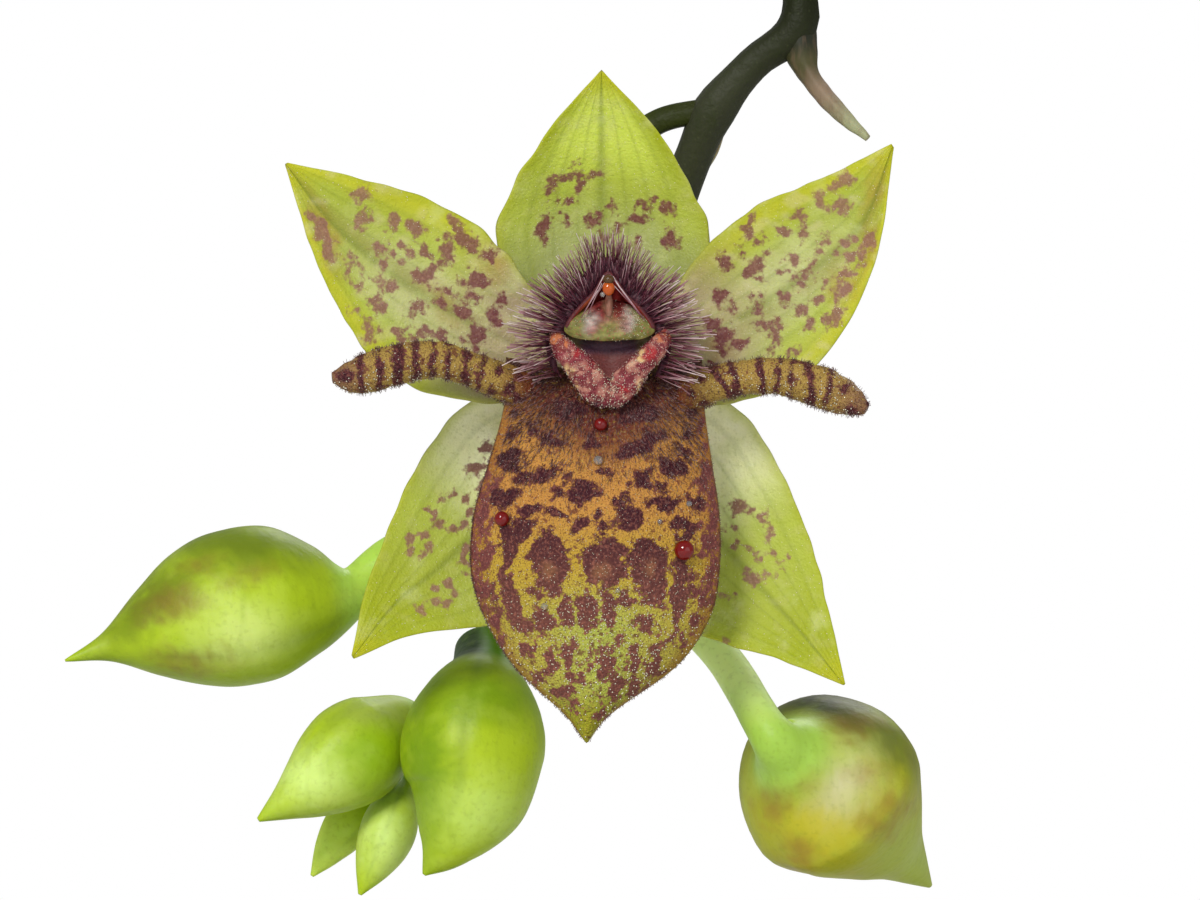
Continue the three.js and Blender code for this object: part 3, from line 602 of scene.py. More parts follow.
TEPAL = tepal_coat()
LIP = lip_coat()
BUD = bud_coat()
STEM = green_coat("stem_skin", 0.5, 0.5, 0.05, (1, 1, 0.15), 0.12, 0.03)
LEAF_SKIN = green_coat("leaf_skin", 0.36, 0.8, 0.06, (1, 1, 0.35))
PAPERY = papery_coat()
COLUMN = column_coat()
CALLUS = callus_coat()
CROWN_HAIR = bristle_coat("crown_hair", (0.035, 0.005, 0.013), (0.17, 0.025, 0.05), (0.42, 0.2, 0.23))
PALE_HAIR = bristle_coat("pale_hair", (0.2, 0.05, 0.08), (0.6, 0.36, 0.38), (0.86, 0.72, 0.7))
PLUSH = bristle_coat("callus_plush_hair", (0.18, 0.018, 0.03), (0.34, 0.08, 0.08), (0.72, 0.5, 0.46))
LIP_HAIR = bristle_coat("lip_hair", (0.045, 0.012, 0.016), (0.075, 0.02, 0.022), (0.3, 0.16, 0.15))
MOSS = bristle_coat("moss", (0.03, 0.06, 0.01), (0.09, 0.17, 0.02), (0.22, 0.32, 0.05))
GLISTEN = drop_coat("glisten", (0.8, 0.76, 0.56), 0.0)
RED_DROP = drop_coat("red_drop", (0.17, 0.003, 0.003), 0.0)
CLEAR_DROP = drop_coat("clear_drop", (0.92, 0.93, 0.9), 0.85)
AMBER_DROP = drop_coat("amber_drop", (0.1, 0.045, 0.008), 0.2)
ANTHER = drop_coat("anther_wax", (0.5, 0.085, 0.006), 0.0)
ROOT = root_coat()
BARK = bark_coat("bark_chip", (0.06, 0.028, 0.016), (0.24, 0.12, 0.065))
BED = bark_coat("bark_bed", (0.03, 0.018, 0.012), (0.1, 0.055, 0.035))
CLAY = clay_coat()


# Spots and rings, placed by the photograph in its pixels. A spot is its middle's x and y, its half width,
# its half height and, where it is tilted, its turn in degrees.

def frayed(points, pixels):
    """Where each point shows, moved about by some pixels so that marks get uneven outlines."""
    x, y = in_picture(points)
    for size, share, seed in ((0.75, 0.7, 901), (0.3, 0.5, 903)):
        x = x + pixels * share * ripple(points, size, seed)
        y = y + pixels * share * ripple(points, size, seed + 1)
    return x, y


def inside(points, spots, fade=6, fray=4.0):
    """How deep each point lies inside the nearest spot: about 1 well inside, below 0 outside.
    Fade is the way from a spot's edge to well inside it, fray how far its outline strays, in pixels."""
    x, y = frayed(points, fray)
    deep = np.full(x.shape, -1.0)
    for spot in spots:
        middle_x, middle_y, wide, high, turn = (*spot, 0)[:5]
        turn = math.radians(turn)
        right, up = x - middle_x, middle_y - y
        far_x = (right * math.cos(turn) + up * math.sin(turn)) / wide
        far_y = (up * math.cos(turn) - right * math.sin(turn)) / high
        deep = np.maximum(deep, (1 - np.hypot(far_x, far_y)) * math.sqrt(wide * high) / fade)
    return np.clip(deep, -1, 1)


def enlarged(spots, scale):
    """The spots at a multiple of their size."""
    return [(x, y, wide * scale, high * scale, *turn) for x, y, wide, high, *turn in spots]


def on_ring(points, rings):
    """The same for rings of small dots, each ring its x, y, radius and width of the band."""
    x, y = in_picture(points)
    deep = np.full(x.shape, -1.0)
    for middle_x, middle_y, radius, band in rings:
        away = np.hypot(x - middle_x, y - middle_y)
        turn = np.arctan2(y - middle_y, x - middle_x)
        dots = 0.35 * np.cos(turn * round(radius / 2.2)) - 0.1
        deep = np.maximum(deep, (band - np.abs(away - radius)) / 6 + dots)
    return np.clip(deep, -1, 1)


def sow(rings, density, count, seed):
    """Random places on a skin, closer together where density is higher, and which way is out there."""
    random = np.random.default_rng(seed)
    after = np.roll(rings, -1, axis=1)
    a, b, c, d = rings[:-1], after[:-1], after[1:], rings[1:]
    out = np.cross(b - a, d - a)
    if ((a - rings.mean(axis=(0, 1))) * out).sum() < 0:
        out = -out
    area = np.linalg.norm(out, axis=2)
    weight = (area * np.broadcast_to(density, rings.shape[:2])[:-1]).ravel()
    pick = random.choice(weight.size, count, p=weight / weight.sum())
    p, q = random.random((2, count, 1))
    a, b, c, d, out = (grid.reshape(-1, 3)[pick] for grid in (a, b, c, d, out))
    spots = (1 - p) * (1 - q) * a + p * (1 - q) * b + p * q * c + (1 - p) * q * d
    return spots, unit(out)


def front_at(points, x, y, reach=5):
    """The foremost point that shows within reach pixels of x, y."""
    shown_x, shown_y = in_picture(points)
    near = points[np.hypot(shown_x - x, shown_y - y) < reach]
    return near[np.argmin(near[:, 1])]


def bead(centre, radii, rows=14, sides=20, bumps=0.0, seed=1):
    """Rings of a small rounded body, uneven where bumps is above 0."""
    fall = np.linspace(0.04, math.pi - 0.04, rows)[:, None]
    turn = circle(sides)[None]
    round_it = [np.sin(fall) * np.cos(turn), 0 * turn + np.cos(fall), np.sin(fall) * np.sin(turn)]
    rings = np.stack(round_it, axis=-1) * radii
    if bumps:
        rings = rings * (1 + bumps * ripple(rings, min(radii), seed))[..., None]
    return rings + np.asarray(centre)


def gather(skins):
    """Several skins as one."""
    points, groups, first = [], [], 0
    for skin_points, skin_groups in skins:
        points.append(skin_points)
        groups += [faces + first for faces in outward(skin_points, skin_groups)]
        first += len(skin_points)
    return np.vstack(points), groups


# Sepals and petals

FLOWER_MIDDLE = (604, 350)  # in the photograph, as are all spots
SEPAL_PALE_WITH_PAINTED_LIGHT = (0.95, 0.95, 0.672)  # colours are linear. This one, the side sepals' pale foot, is brightened past its own colour as painted light against the shade of the petals and feelers
SEPAL_DEEP = (0.33, 0.38, 0.008)
SEPAL_MIDDLE = (0.42, 0.48, 0.07)
DORSAL = (0.4, 0.42, 0.19)
PETAL_PALE = (0.483, 0.45, 0.33)
YELLOW_TIP = (0.44, 0.44, 0.01)
VEIN = (0.17, 0.21, 0.02)

TEPALS = {
    "dorsal_sepal": {
        "left": [(-0.5, 0.95, -1), (-3.1, 3, -1.4), (-4.3, 5.6, -1.5), (-3.8, 7.7, -1.3),
                 (-2.1, 10.4, -0.6), (-0.2, 12.5, 0.2)],
        "rib": [(0, 0.9, -1), (0, 3.2, -2), (-0.05, 5.8, -2.4), (-0.1, 8.2, -2), (-0.1, 10.6, -1),
                (-0.1, 12.6, 0.2)],
        "right": [(0.5, 0.95, -1), (3.1, 3, -1.4), (4.25, 5.6, -1.5), (3.7, 7.6, -1.3),
                  (2.2, 10.1, -0.6), (0, 12.5, 0.2)],
        "bulge": -0.08,
        "spots": [
            (574, 163, 4.5, 4), (560, 176, 5, 4), (553, 182, 5, 5), (547, 191, 4.5, 5),
            (576, 177, 6, 5, -40), (584, 185, 6, 5), (579, 192, 4.5, 6), (597, 174, 11, 4.5, 20),
            (557, 200, 4, 4.5), (571, 202, 5.5, 5), (591, 218, 4.5, 6), (599, 213, 5, 4.5),
            (611, 205, 5, 7), (653, 199, 5, 5), (644, 205, 5, 6), (666, 210, 8, 8),
            (638, 218, 7.5, 4.5), (544, 230, 7, 13), (557, 218, 4, 5), (569, 223, 4.5, 8),
            (617, 226, 5, 6), (638, 239, 7.5, 7), (672, 242, 8, 11), (603, 235, 6, 6),
        ],
    },
    "left_sepal": {
        "left": [(-1.1, -0.45, -1), (-5.2, -0.6, -1.3), (-7.3, -2.9, -1.5), (-8.6, -5.6, -1.4),
                 (-9.6, -8.4, -0.8), (-10.1, -10.8, 0)],
        "rib": [(-0.7, -0.9, -1), (-2.7, -3.2, -1.9), (-4.8, -5.6, -2.2), (-6.6, -7.3, -1.9),
                (-8.4, -8.8, -1.2), (-10.05, -10.9, 0)],
        "right": [(-0.35, -1.3, -1), (-1, -5, -1.4), (-2.6, -8.6, -1.6), (-5, -9.7, -1.3),
                  (-7.6, -10, -0.8), (-10, -10.95, 0)],
        "bulge": -0.08,
        "spots": [
            (485, 446, 9, 8.5), (472, 469, 7, 7), (480, 469, 4, 4), (481, 485, 5, 7), (434, 512, 4, 5),
            (433, 523, 4, 4), (418, 608, 8, 5), (465, 557, 5, 10), (462, 574, 6, 5),
        ],
        "rings": [(453, 512, 17, 4), (419, 545, 11, 4), (444, 594, 10, 4)],
    },
    "right_sepal": {
        "left": [(0.35, -1.3, -1), (1, -5, -1.4), (2.2, -9, -1.6), (4.6, -10.3, -1.3), (7, -11, -0.8),
                 (9.55, -12, 0)],
        "rib": [(0.7, -0.9, -1), (2.5, -3.3, -1.9), (4.4, -5.9, -2.2), (6.2, -8, -1.9),
                (7.9, -9.9, -1.2), (9.6, -12, 0)],
        "right": [(1.1, -0.45, -1), (5, -0.7, -1.3), (7.2, -3.6, -1.5), (8.5, -6.9, -1.4),
                  (9.1, -9.4, -0.8), (9.65, -11.95, 0)],
        "bulge": -0.08,
        "spots": [
            (739, 506, 9, 8, -40), (750, 512, 4, 4), (762, 520, 4.5, 5.5), (768, 536, 4, 4),
            (732, 527, 8, 4), (738, 542, 3, 4), (749, 550, 4.5, 5), (730, 548, 7, 5),
            (759, 558, 3.5, 5), (764, 548, 3, 3), (775, 548, 6, 4), (785, 556, 4, 4.5),
            (786, 570, 5, 4), (777, 576, 5, 4), (767, 575, 5, 3.5), (751, 578, 8, 8),
            (727, 592, 6, 4, -25), (726, 646, 7, 4),
        ],
    },
    "left_petal": {
        "left": [(-0.95, -0.2, 0.05), (-4.2, -0.75, 0.2), (-7.4, -0.2, 0.3), (-9.7, 1.6, 0.4),
                 (-11.5, 5, 0.6), (-12.7, 8.72, 1)],
        "rib": [(-0.9, 0.3, 0.05), (-3.4, 1.5, -0.1), (-6.1, 2.9, -0.3), (-8.6, 4.5, -0.2),
                (-10.9, 6.5, 0.3), (-12.7, 8.8, 1)],
        "right": [(-0.7, 0.75, 0.05), (-2.7, 3.6, 0.1), (-4.3, 5.7, 0.1), (-6.6, 7.2, 0.2),
                  (-9.6, 8.2, 0.6), (-12.6, 8.85, 1)],
        "bulge": -0.06,
        "spots": [
            (361, 193, 10, 9), (363, 216, 8, 9), (393, 221, 8, 8), (385, 233, 5, 4), (416, 228, 9, 10),
            (381, 247, 7, 6), (413, 253, 5, 5), (427, 253, 7, 6), (448, 251, 8, 12), (458, 225, 8, 7),
            (467, 240, 10, 8, -25), (487, 254, 8, 9), (382, 264, 7, 5, -35), (422, 276, 11, 6, 10),
            (436, 267, 4.5, 4.5), (477, 279, 8, 9), (462, 282, 6, 5), (473, 297, 7.5, 6.5),
            (450, 293, 6, 6), (502, 297, 6.5, 6.5), (494, 319, 8.5, 11.5), (464, 314, 9, 8),
            (478, 336, 8, 12), (435, 291, 5.5, 5), (441, 303, 7, 5), (332, 253, 8, 7), (352, 259, 5, 6),
            (350, 267, 5, 6), (355, 284, 8, 5), (363, 271, 4, 4), (388, 286, 12, 6.5),
            (378, 305, 11, 9), (419, 310, 9, 7), (370, 331, 10, 9), (354, 311, 6, 5),
            (398, 334, 6, 4.5), (427, 332, 8, 5.5), (443, 331, 7, 7), (462, 337, 6, 5),
            (410, 343, 9, 5), (322, 235, 6, 28, 25),
        ],
        "rings": [(401, 254, 8, 3)],
    },
    "right_petal": {
        "left": [(0.7, 0.75, 0.05), (2.5, 3.4, 0.1), (4, 5.4, 0.1), (6, 7.1, 0.2), (8.8, 8.3, 0.6),
                 (11.45, 9.6, 1)],
        "rib": [(0.9, 0.3, 0.05), (3.4, 1.6, -0.1), (6, 3, -0.3), (8.6, 4.8, -0.2), (10.4, 6.6, 0.3),
                (11.5, 9.5, 1)],
        "right": [(0.95, -0.2, 0.05), (4.2, -0.8, 0.2), (6.8, -0.3, 0.3), (8.9, 1.2, 0.4),
                  (10.8, 4.8, 0.6), (11.55, 9.45, 1)],
        "bulge": -0.06,
        "spots": [
            (821, 196, 8, 6.5), (835, 188, 7, 5), (848, 180, 7, 7, 40), (839, 204, 10, 7),
            (802, 212, 5.5, 10), (802, 234, 4, 8), (785, 229, 7, 7), (749, 228, 5, 14, -30),
            (759, 241, 5, 5), (725, 257, 8.5, 10, 30), (744, 255, 5, 5), (768, 255, 4, 3.5),
            (753, 269, 10, 8, 20), (761, 279, 4, 4), (794, 262, 8, 7), (786, 273, 5, 4),
            (824, 240, 4.5, 4.5), (846, 239, 6, 3.5), (858, 259, 6, 7), (846, 256, 7, 5),
            (833, 254, 9, 3), (843, 268, 4, 5), (848, 275, 6, 4), (821, 257, 4, 4), (817, 265, 3, 4),
            (810, 270, 5, 4), (799, 282, 6, 6, 45), (782, 293, 5, 4), (826, 280, 6.5, 4.5),
            (843, 291, 7.5, 9), (820, 298, 9, 6, 15), (796, 309, 7, 9, -30), (786, 304, 5, 4),
            (810, 322, 7, 9), (833, 319, 11, 8, 20), (764, 297, 5, 5), (757, 309, 6.5, 9),
            (763, 323, 7, 5), (774, 326, 8, 7), (719, 300, 7, 7), (736, 310, 6, 7), (710, 325, 9, 6),
            (725, 334, 12, 8), (738, 343, 11, 6), (779, 338, 4, 8), (771, 351, 4, 8),
            (796, 350, 7, 3.5, 35), (716, 363, 8, 5), (722, 345, 5, 6), (868, 243, 7, 13, -15),
        ],
    },
}
PETAL_STAINS = {  # brownish orange patches
    "left_petal": [(325, 232, 10, 34, 22), (437, 300, 22, 8, -35), (494, 262, 10, 12)],
    "right_petal": [(866, 250, 9, 30, -12), (845, 285, 14, 16), (716, 346, 16, 10), (872, 190, 8, 22, -14)],
}
VEINS = (-0.72, -0.48, -0.24, 0.24, 0.48, 0.72)  # shares of the half width


def blade(shape, rows, half, thick, grow=lambda s, t, points: 0):
    """Rings of a closed blade between a left edge, a rib and a right edge, with a thin rounded margin.
    Also gives the way to the tip (s, 0 to 1), the way across (t, -1 to 1) and 1 on the front, -1 behind."""
    left, rib, right = (at(spline(shape[key], rows + 1))[:, None] for key in ("left", "rib", "right"))
    across = np.linspace(-1, 1, 2 * half + 1)
    t = np.r_[across, across[-2:0:-1]][None]
    face = np.r_[np.ones(2 * half + 1), -np.ones(2 * half - 1)][None]
    s = np.linspace(0, 1, rows + 1)[:, None]
    edge = np.where(t[..., None] < 0, left, right)
    points = rib + np.abs(t)[..., None] * (edge - rib)
    width = np.linalg.norm(edge - rib, axis=2)
    points[..., 1] -= shape["bulge"] * width * 4 * np.abs(t) * (1 - np.abs(t))
    thin_sides = np.sqrt(np.maximum(1 - np.abs(t) ** 3, 0))
    thin_ends = np.sqrt(np.maximum(1 - np.abs(2 * s - 1) ** 12, 0.02))
    points[..., 1] -= face * 0.5 * thick * thin_sides * thin_ends + grow(s, t, points)
    return points, s + 0 * t, t + 0 * s, face + 0 * s


def tepal_rings(shape, seed):
    """Rings of a folded and veined blade, with its share to the tip and its way across."""
    def relief(s, t, points):
        veins = sum(peak(t, k, 0.035) for k in VEINS)
        soft = 0.07 * ripple(points, 2.6, seed) * smooth(0, 0.3, s)
        return soft + 0.022 * veins - 0.05 * peak(t, 0, 0.05)

    rings, s, t, _ = blade(shape, rows=112, half=34, thick=0.42, grow=relief)
    wave = 0.07 * ripple(rings, 0.8, seed + 50) * np.abs(t) ** 4 * np.sin(math.pi * s)
    rings = rings + wave[..., None] * unit((rings - rings.mean(axis=1, keepdims=True)) * (1, 0, 1))
    return rings, s, t


def petal_tint(tint, name, rings, s, t, centre):
    """A petal's yellow margins, pale middle, brown foot and stains and olive fold, over its green."""
    tint = blend(tint, (0.48, 0.48, 0.02), 0.85 * smooth(0.5, 0.9, np.abs(t)) * smooth(0.2, 0.6, s))
    tint = blend(tint, (0.5, 0.5, 0.24), 0.8 * peak(s, 0.5, 0.22) * smooth(0.6, 0.2, np.abs(t + 0.05)))
    tint = blend(tint, (0.3, 0.17, 0.07), 0.55 * smooth(200, 90, centre))
    stain = field(rings, inside(rings, PETAL_STAINS[name], fade=30, fray=8))
    tint = blend(tint, (0.36, 0.17, 0.02), 0.6 * smooth(-0.6, 0.8, stain))
    return blend(tint, (0.22, 0.19, 0.03), 0.45 * peak(t, 0.1, 0.12) * smooth(0.2, 0.5, s))


def dorsal_tint(tint, s, t):
    """The dorsal sepal's light tip half, and painted shade that darkens its lower sides."""
    across = np.abs(t)
    tint = blend(tint, (0.6, 0.7, 0.1), smooth(0.55, 0.75, s) * smooth(0.95, 0.5, across))
    # painted shade: the lower sides are darkened
    tint = blend(tint, (0.22, 0.25, 0.05), 0.8 * smooth(0.5, 0.2, s) * smooth(0.1, 0.6, across))
    return blend(tint, (0.34, 0.36, 0.16), 0.6 * smooth(0.62, 0.4, s) * smooth(0.75, 0.4, across))


def tepal(name, shape, seed):
    """A sepal or petal with its blotches and glistening cells."""
    slot = "petal" if name.endswith("petal") else "sepal"
    petal = slot == "petal"
    rings, s, t = tepal_rings(shape, seed)
    spots = inside(rings, enlarged(shape["spots"], 1.12), fade=9, fray=5)
    marks = np.maximum(spots, on_ring(rings, shape.get("rings", [])))
    x, y = in_picture(rings)
    away = np.hypot(x - FLOWER_MIDDLE[0], y - FLOWER_MIDDLE[1])
    s, t, centre = field(rings, s), field(rings, t), field(rings, away)
    # the side sepals' pale foot carries painted light
    pale = PETAL_PALE if petal else DORSAL if name == "dorsal_sepal" else SEPAL_PALE_WITH_PAINTED_LIGHT
    tint = blend(pale, SEPAL_MIDDLE, smooth(0.2, 0.5, s))
    tint = blend(tint, SEPAL_DEEP, (0.4 if petal else 0.95) * smooth(0.45, 0.85, s))
    if name == "dorsal_sepal":
        tint = dorsal_tint(tint, s, t)
    tint = blend(tint, YELLOW_TIP, smooth(0.84, 1, s))
    if petal:
        tint = petal_tint(tint, name, rings, s, t, centre)
    veins = np.clip(sum(peak(t, k, 0.02) for k in VEINS), 0, 1)
    tint = blend(tint, VEIN, 0.28 * veins + 0.5 * peak(t, 0, 0.06) * smooth(0.1, 0.4, s))
    tint = blend(tint, (0.3, 0.34, 0.01), 0.6 * smooth(0.86, 1, np.abs(t)))
    speckle = smooth(0.2, 1, field(rings, ripple(rings, 0.5, seed + 60)))
    tint = blend(tint, (0.62, 0.55, 0.3), (0.35 if petal else 0.12) * speckle)
    mark = blend((0.12, 0.012, 0.022), (0.31, 0.14, 0.12), smooth(90, 300, centre))
    piece(name, name, slot, TEPAL, loft(rings), tint=tint, mark=mark, blotch=field(rings, marks),
          strength=np.interp(centre, [100, 320], [0.97, 0.8]),
          glint=np.interp(centre, [80, 260], [0.55, 0.3]))
    glisten(name + "_cells", name, slot, rings, 260, (0.012, 0.022), seed, 1.0)


BACK_SHARE = 0.15  # how dense the glistening cells are behind, against the front


def glisten(name, node, slot, rings, count, sizes, seed, density, lift=0.0):
    """Glistening cells that stand on a skin like very small beads."""
    random = np.random.default_rng(seed)
    sides = rings.shape[1]
    facing = np.where(np.arange(sides) < sides // 2, 1.0, BACK_SHARE)[None]
    spots, out = sow(rings, density * facing, count, seed)
    scatter(name, node, slot, PAPILLA, spots + lift * out, out, random.uniform(*sizes, count),
            Detail=1, Seed=seed, Coat=GLISTEN)


FIRST_TEPAL_SEED = 20
for number, (name, shape) in enumerate(TEPALS.items()):
    tepal(name, shape, FIRST_TEPAL_SEED + number)


# Lip: its middle lobe, the two side lobes like feelers, and the forked callus

LIP_SHAPE = {
    "left": [
        (-3.9, 1.1, 1.1), (-4, -0.9, 1.1), (-4.6, -3.1, 1.2), (-5.2, -5.2, 1.3), (-5.3, -7.4, 1.4),
        (-4.75, -9.3, 1.3), (-3.5, -11.3, 1.2), (-1.6, -13.1, 1.2), (-0.76, -14.2, 1.4),
    ],
    "rib": [
        (0, -0.35, 1.2), (0, -1.7, 1.8), (-0.1, -3.3, 2.5), (-0.2, -5.2, 3), (-0.3, -7.3, 3.1),
        (-0.4, -9.2, 2.9), (-0.5, -11.2, 2.4), (-0.6, -12.8, 1.8), (-0.7, -14.25, 1.4),
    ],
    "right": [
        (3.9, 1.1, 1.1), (4, -0.9, 1.1), (4.3, -3.1, 1.2), (4.6, -5.2, 1.3), (4.6, -7.4, 1.4),
        (4.2, -9.3, 1.3), (2.9, -11.2, 1.2), (0.3, -13.1, 1.2), (-0.62, -14.2, 1.4),
    ],
    "bulge": 0.08,
}
FEELERS = {
    "left": [
        (-1.8, -0.8, 0.2), (-4.3, 0.25, 1.6), (-6.5, 0.95, 2.5), (-8.3, 0.75, 3), (-9.6, 0.35, 3.3),
        (-10.7, 0.2, 3.5),
    ],
    "right": [
        (1.8, -0.9, 0.2), (4.3, 0, 1.6), (6.5, 0.35, 2.5), (8.2, 0, 3), (9.5, -0.55, 3.3), (10.35, -1, 3.5),
    ],
}
FEELER_RADII = (0.45, 0.78, 0.74, 0.68, 0.72, 0.8, 0.78, 0.4)
FEELER_BANDS = {  # middle, half width and slant of each dark band, in the photograph's pixels
    "left": [
        (361, 4.5, 0.1), (380, 4.5, 0.05), (399, 6.5, 0), (415, 4.5, 0), (432, 4, 0), (448, 4, -0.05),
        (466, 4.5, -0.1), (482, 4, -0.2),
    ],
    "right": [
        (719, 4.5, 0.8), (735, 4.5, 0.35), (761, 4.8, 0.1), (777, 3.5, -0.1), (791, 4, -0.1),
        (809, 5.5, 0.1), (830, 3.6, -0.2),
    ],
}
FEELER_MIDDLE = {"left": 368, "right": 380}  # how high the bands' middles are
FEELER_SPOTS = {
    "left": [
        (345, 376, 9, 8), (500, 372, 6, 7), (511, 390, 6, 7), (490, 392, 6, 5), (520, 376, 5, 7),
        (503, 402, 6, 5), (518, 398, 6, 6), (478, 378, 4, 6),
    ],
    "right": [
        (844, 389, 7, 6), (853, 413, 9, 8), (871, 405, 6, 7), (704, 403, 7, 6), (690, 413, 6, 6),
        (712, 366, 8, 4), (690, 392, 6, 6), (700, 380, 5, 4),
    ],
}
CALLUS_EDGES = {  # each arm's edges from its end to the fork's foot, in the photograph, with w
    "left": {
        "outer": [(549, 331, 3.1), (547, 341, 3.2), (554, 356, 3.15), (566, 375, 3.0), (579, 392, 2.8),
                  (592, 406, 2.5), (606, 412, 2.3)],
        "inner": [(560, 330, 3.1), (573, 341, 3.2), (585, 352, 3.15), (597, 363, 3.0), (608, 372, 2.85),
                  (615, 381, 2.6), (619, 394, 2.4)],
    },
    "right": {
        "outer": [(671, 328, 3.1), (674, 340, 3.2), (664, 355, 3.15), (651, 373, 3.0), (637, 391, 2.8),
                  (624, 406, 2.5), (610, 412, 2.3)],
        "inner": [(659, 329, 3.1), (647, 342, 3.2), (635, 353, 3.15), (623, 364, 3.0), (613, 372, 2.85),
                  (606, 381, 2.6), (602, 394, 2.4)],
    },
}
CALLUS_DEPTH = 0.34  # half its thickness
CALLUS_MARKS = [  # spots and their colours; the last row is painted shade
    ([(557, 341, 12, 9), (665, 335, 10, 8)], (0.5, 0.15, 0.05)),
    ([(566, 372, 7, 9), (641, 354, 8, 8), (578, 384, 6, 5), (640, 384, 6, 8)], (0.72, 0.5, 0.22)),
    ([(650, 353, 9, 8), (577, 352, 6, 5), (590, 365, 6, 6), (622, 390, 7, 6)], (0.36, 0.015, 0.02)),
    ([(597, 368, 6, 4, -40), (630, 362, 7, 4, 40), (608, 381, 4, 5)], (0.62, 0.36, 0.24)),
    # near-black spots on the arms' lower outer edges: painted shade
    ([(648, 384, 8, 9, 40), (571, 388, 5, 9, -30), (640, 398, 9, 6, 40), (594, 405, 10, 5, -30)],
     (0.05, 0.012, 0.02)),
]
LIP_SPOTS = [
    (516, 413, 5, 6), (536, 426, 6, 4), (511, 433, 5, 5), (510, 459, 13, 9), (544, 474, 20, 10, 10),
    (507, 494, 13, 10), (582, 494, 15, 12), (555, 496, 8, 4.5), (558, 516, 9, 6.5),
    (529, 512, 14, 8, 10), (522, 533, 9, 16, -5), (508, 548, 7.5, 33, -3), (579, 527, 8, 10),
    (598, 519, 10, 6), (603, 527, 8, 5), (628, 515, 17, 10, -25), (660, 502, 18, 8, 15),
    (630, 484, 7, 4.5), (646, 482, 8, 7), (672, 467, 14, 9, -15), (683, 453, 10, 5), (693, 436, 6, 7),
    (687, 410, 5, 8), (697, 502, 9.5, 8.5), (684, 527, 11, 15, 20), (634, 459, 7, 5), (654, 445, 8, 8),
    (640, 447, 22, 12, 20), (548, 436, 12, 7, -25), (592, 440, 10, 5), (568, 410, 18, 9),
    (637, 410, 20, 10), (550, 560, 19, 26), (603, 563, 21, 25), (648, 562, 18, 26),
    (683, 575, 10, 24, 8), (492, 589, 6, 11), (495, 610, 8, 8), (512, 600, 8, 30, 7), (534, 593, 5, 9),
    (542, 617, 9, 16, 10), (567, 605, 8, 14), (585, 613, 9, 20), (567, 625, 7, 5), (608, 608, 7, 16),
    (625, 600, 10, 8), (656, 589, 8, 20), (647, 603, 8, 8), (647, 627, 11, 7, 25),
    (678, 605, 9, 24, -12), (617, 637, 6, 5), (609, 648, 7, 6), (530, 646, 7, 9), (551, 662, 7, 15, 10),
    (570, 658, 7, 9, 25), (606, 667, 5, 13), (635, 668, 7, 24), (656, 660, 7, 18, -12),
    (541, 675, 9, 7), (577, 680, 10, 6), (562, 585, 5, 4), (532, 565, 4, 7), (575, 652, 4, 8),
    (593, 652, 4, 7), (622, 668, 4, 10), (646, 692, 5, 9), (588, 668, 4, 8), (524, 625, 5, 9),
    (667, 640, 5, 9), (598, 535, 5, 4), (572, 545, 5, 4), (636, 540, 6, 4), (520, 474, 7, 4),
    (605, 470, 8, 4), (622, 500, 6, 4), (570, 475, 6, 4), (660, 485, 6, 4), (545, 540, 6, 4),
    (561, 694, 12, 8), (575, 706, 10, 6), (615, 687, 6, 14), (632, 689, 8, 8), (599, 694, 7, 5),
    (603, 711, 8, 9),
]
LIP_MARGIN = [
    (484, 510, 8, 14), (481, 531, 7, 11), (486, 555, 9, 13), (483, 567, 8, 7), (706, 472, 6, 14),
    (711, 519, 7, 15), (711, 546, 8, 16), (478, 470, 5, 12), (477, 492, 5, 10), (487, 590, 6, 12),
    (497, 622, 6, 12), (505, 645, 5, 10), (701, 425, 5, 10), (706, 448, 5, 9), (714, 495, 4, 10),
    (713, 572, 6, 10), (706, 598, 6, 12), (695, 622, 6, 12), (682, 642, 6, 10),
]
LIP_HEARTS = [(548, 570, 12, 14), (601, 572, 14, 14), (650, 568, 9, 14)]  # the big spots' lighter middles
RED_DROPS = [(498, 516, 0.3), (689, 550, 0.4), (602, 420, 0.26)]
CLEAR_DROPS = [(597, 457, 0.19), (693, 501, 0.12), (541, 609, 0.14), (622, 588, 0.1), (664, 520, 0.1)]


def lip_tint(rings, edge):
    """Dark at the lip's foot, then ochre, yellow, light green and deeper green at its tip."""
    x, y = shown(rings)
    upper = peak(x, FLOWER_MIDDLE[0], 78)
    tint = blend((0.13, 0.024, 0.014), (0.54, 0.25, 0.05), smooth(425, 490, y + 70 * (1 - upper)))
    tint = blend(tint, (0.5, 0.33, 0.03), smooth(500, 570, y))
    tint = blend(tint, (0.42, 0.46, 0.07), smooth(560, 630, y) * (0.35 + 0.65 * peak(x, 600, 55)))
    tint = blend(tint, (0.3, 0.3, 0.008), smooth(680, 725, y))
    rim = smooth(0.8, 0.98, field(rings, edge))
    tint = blend(tint, (0.3, 0.11, 0.015), 0.7 * rim * smooth(395, 425, y))
    return blend(tint, (0.05, 0.014, 0.012), smooth(392, 374, y))


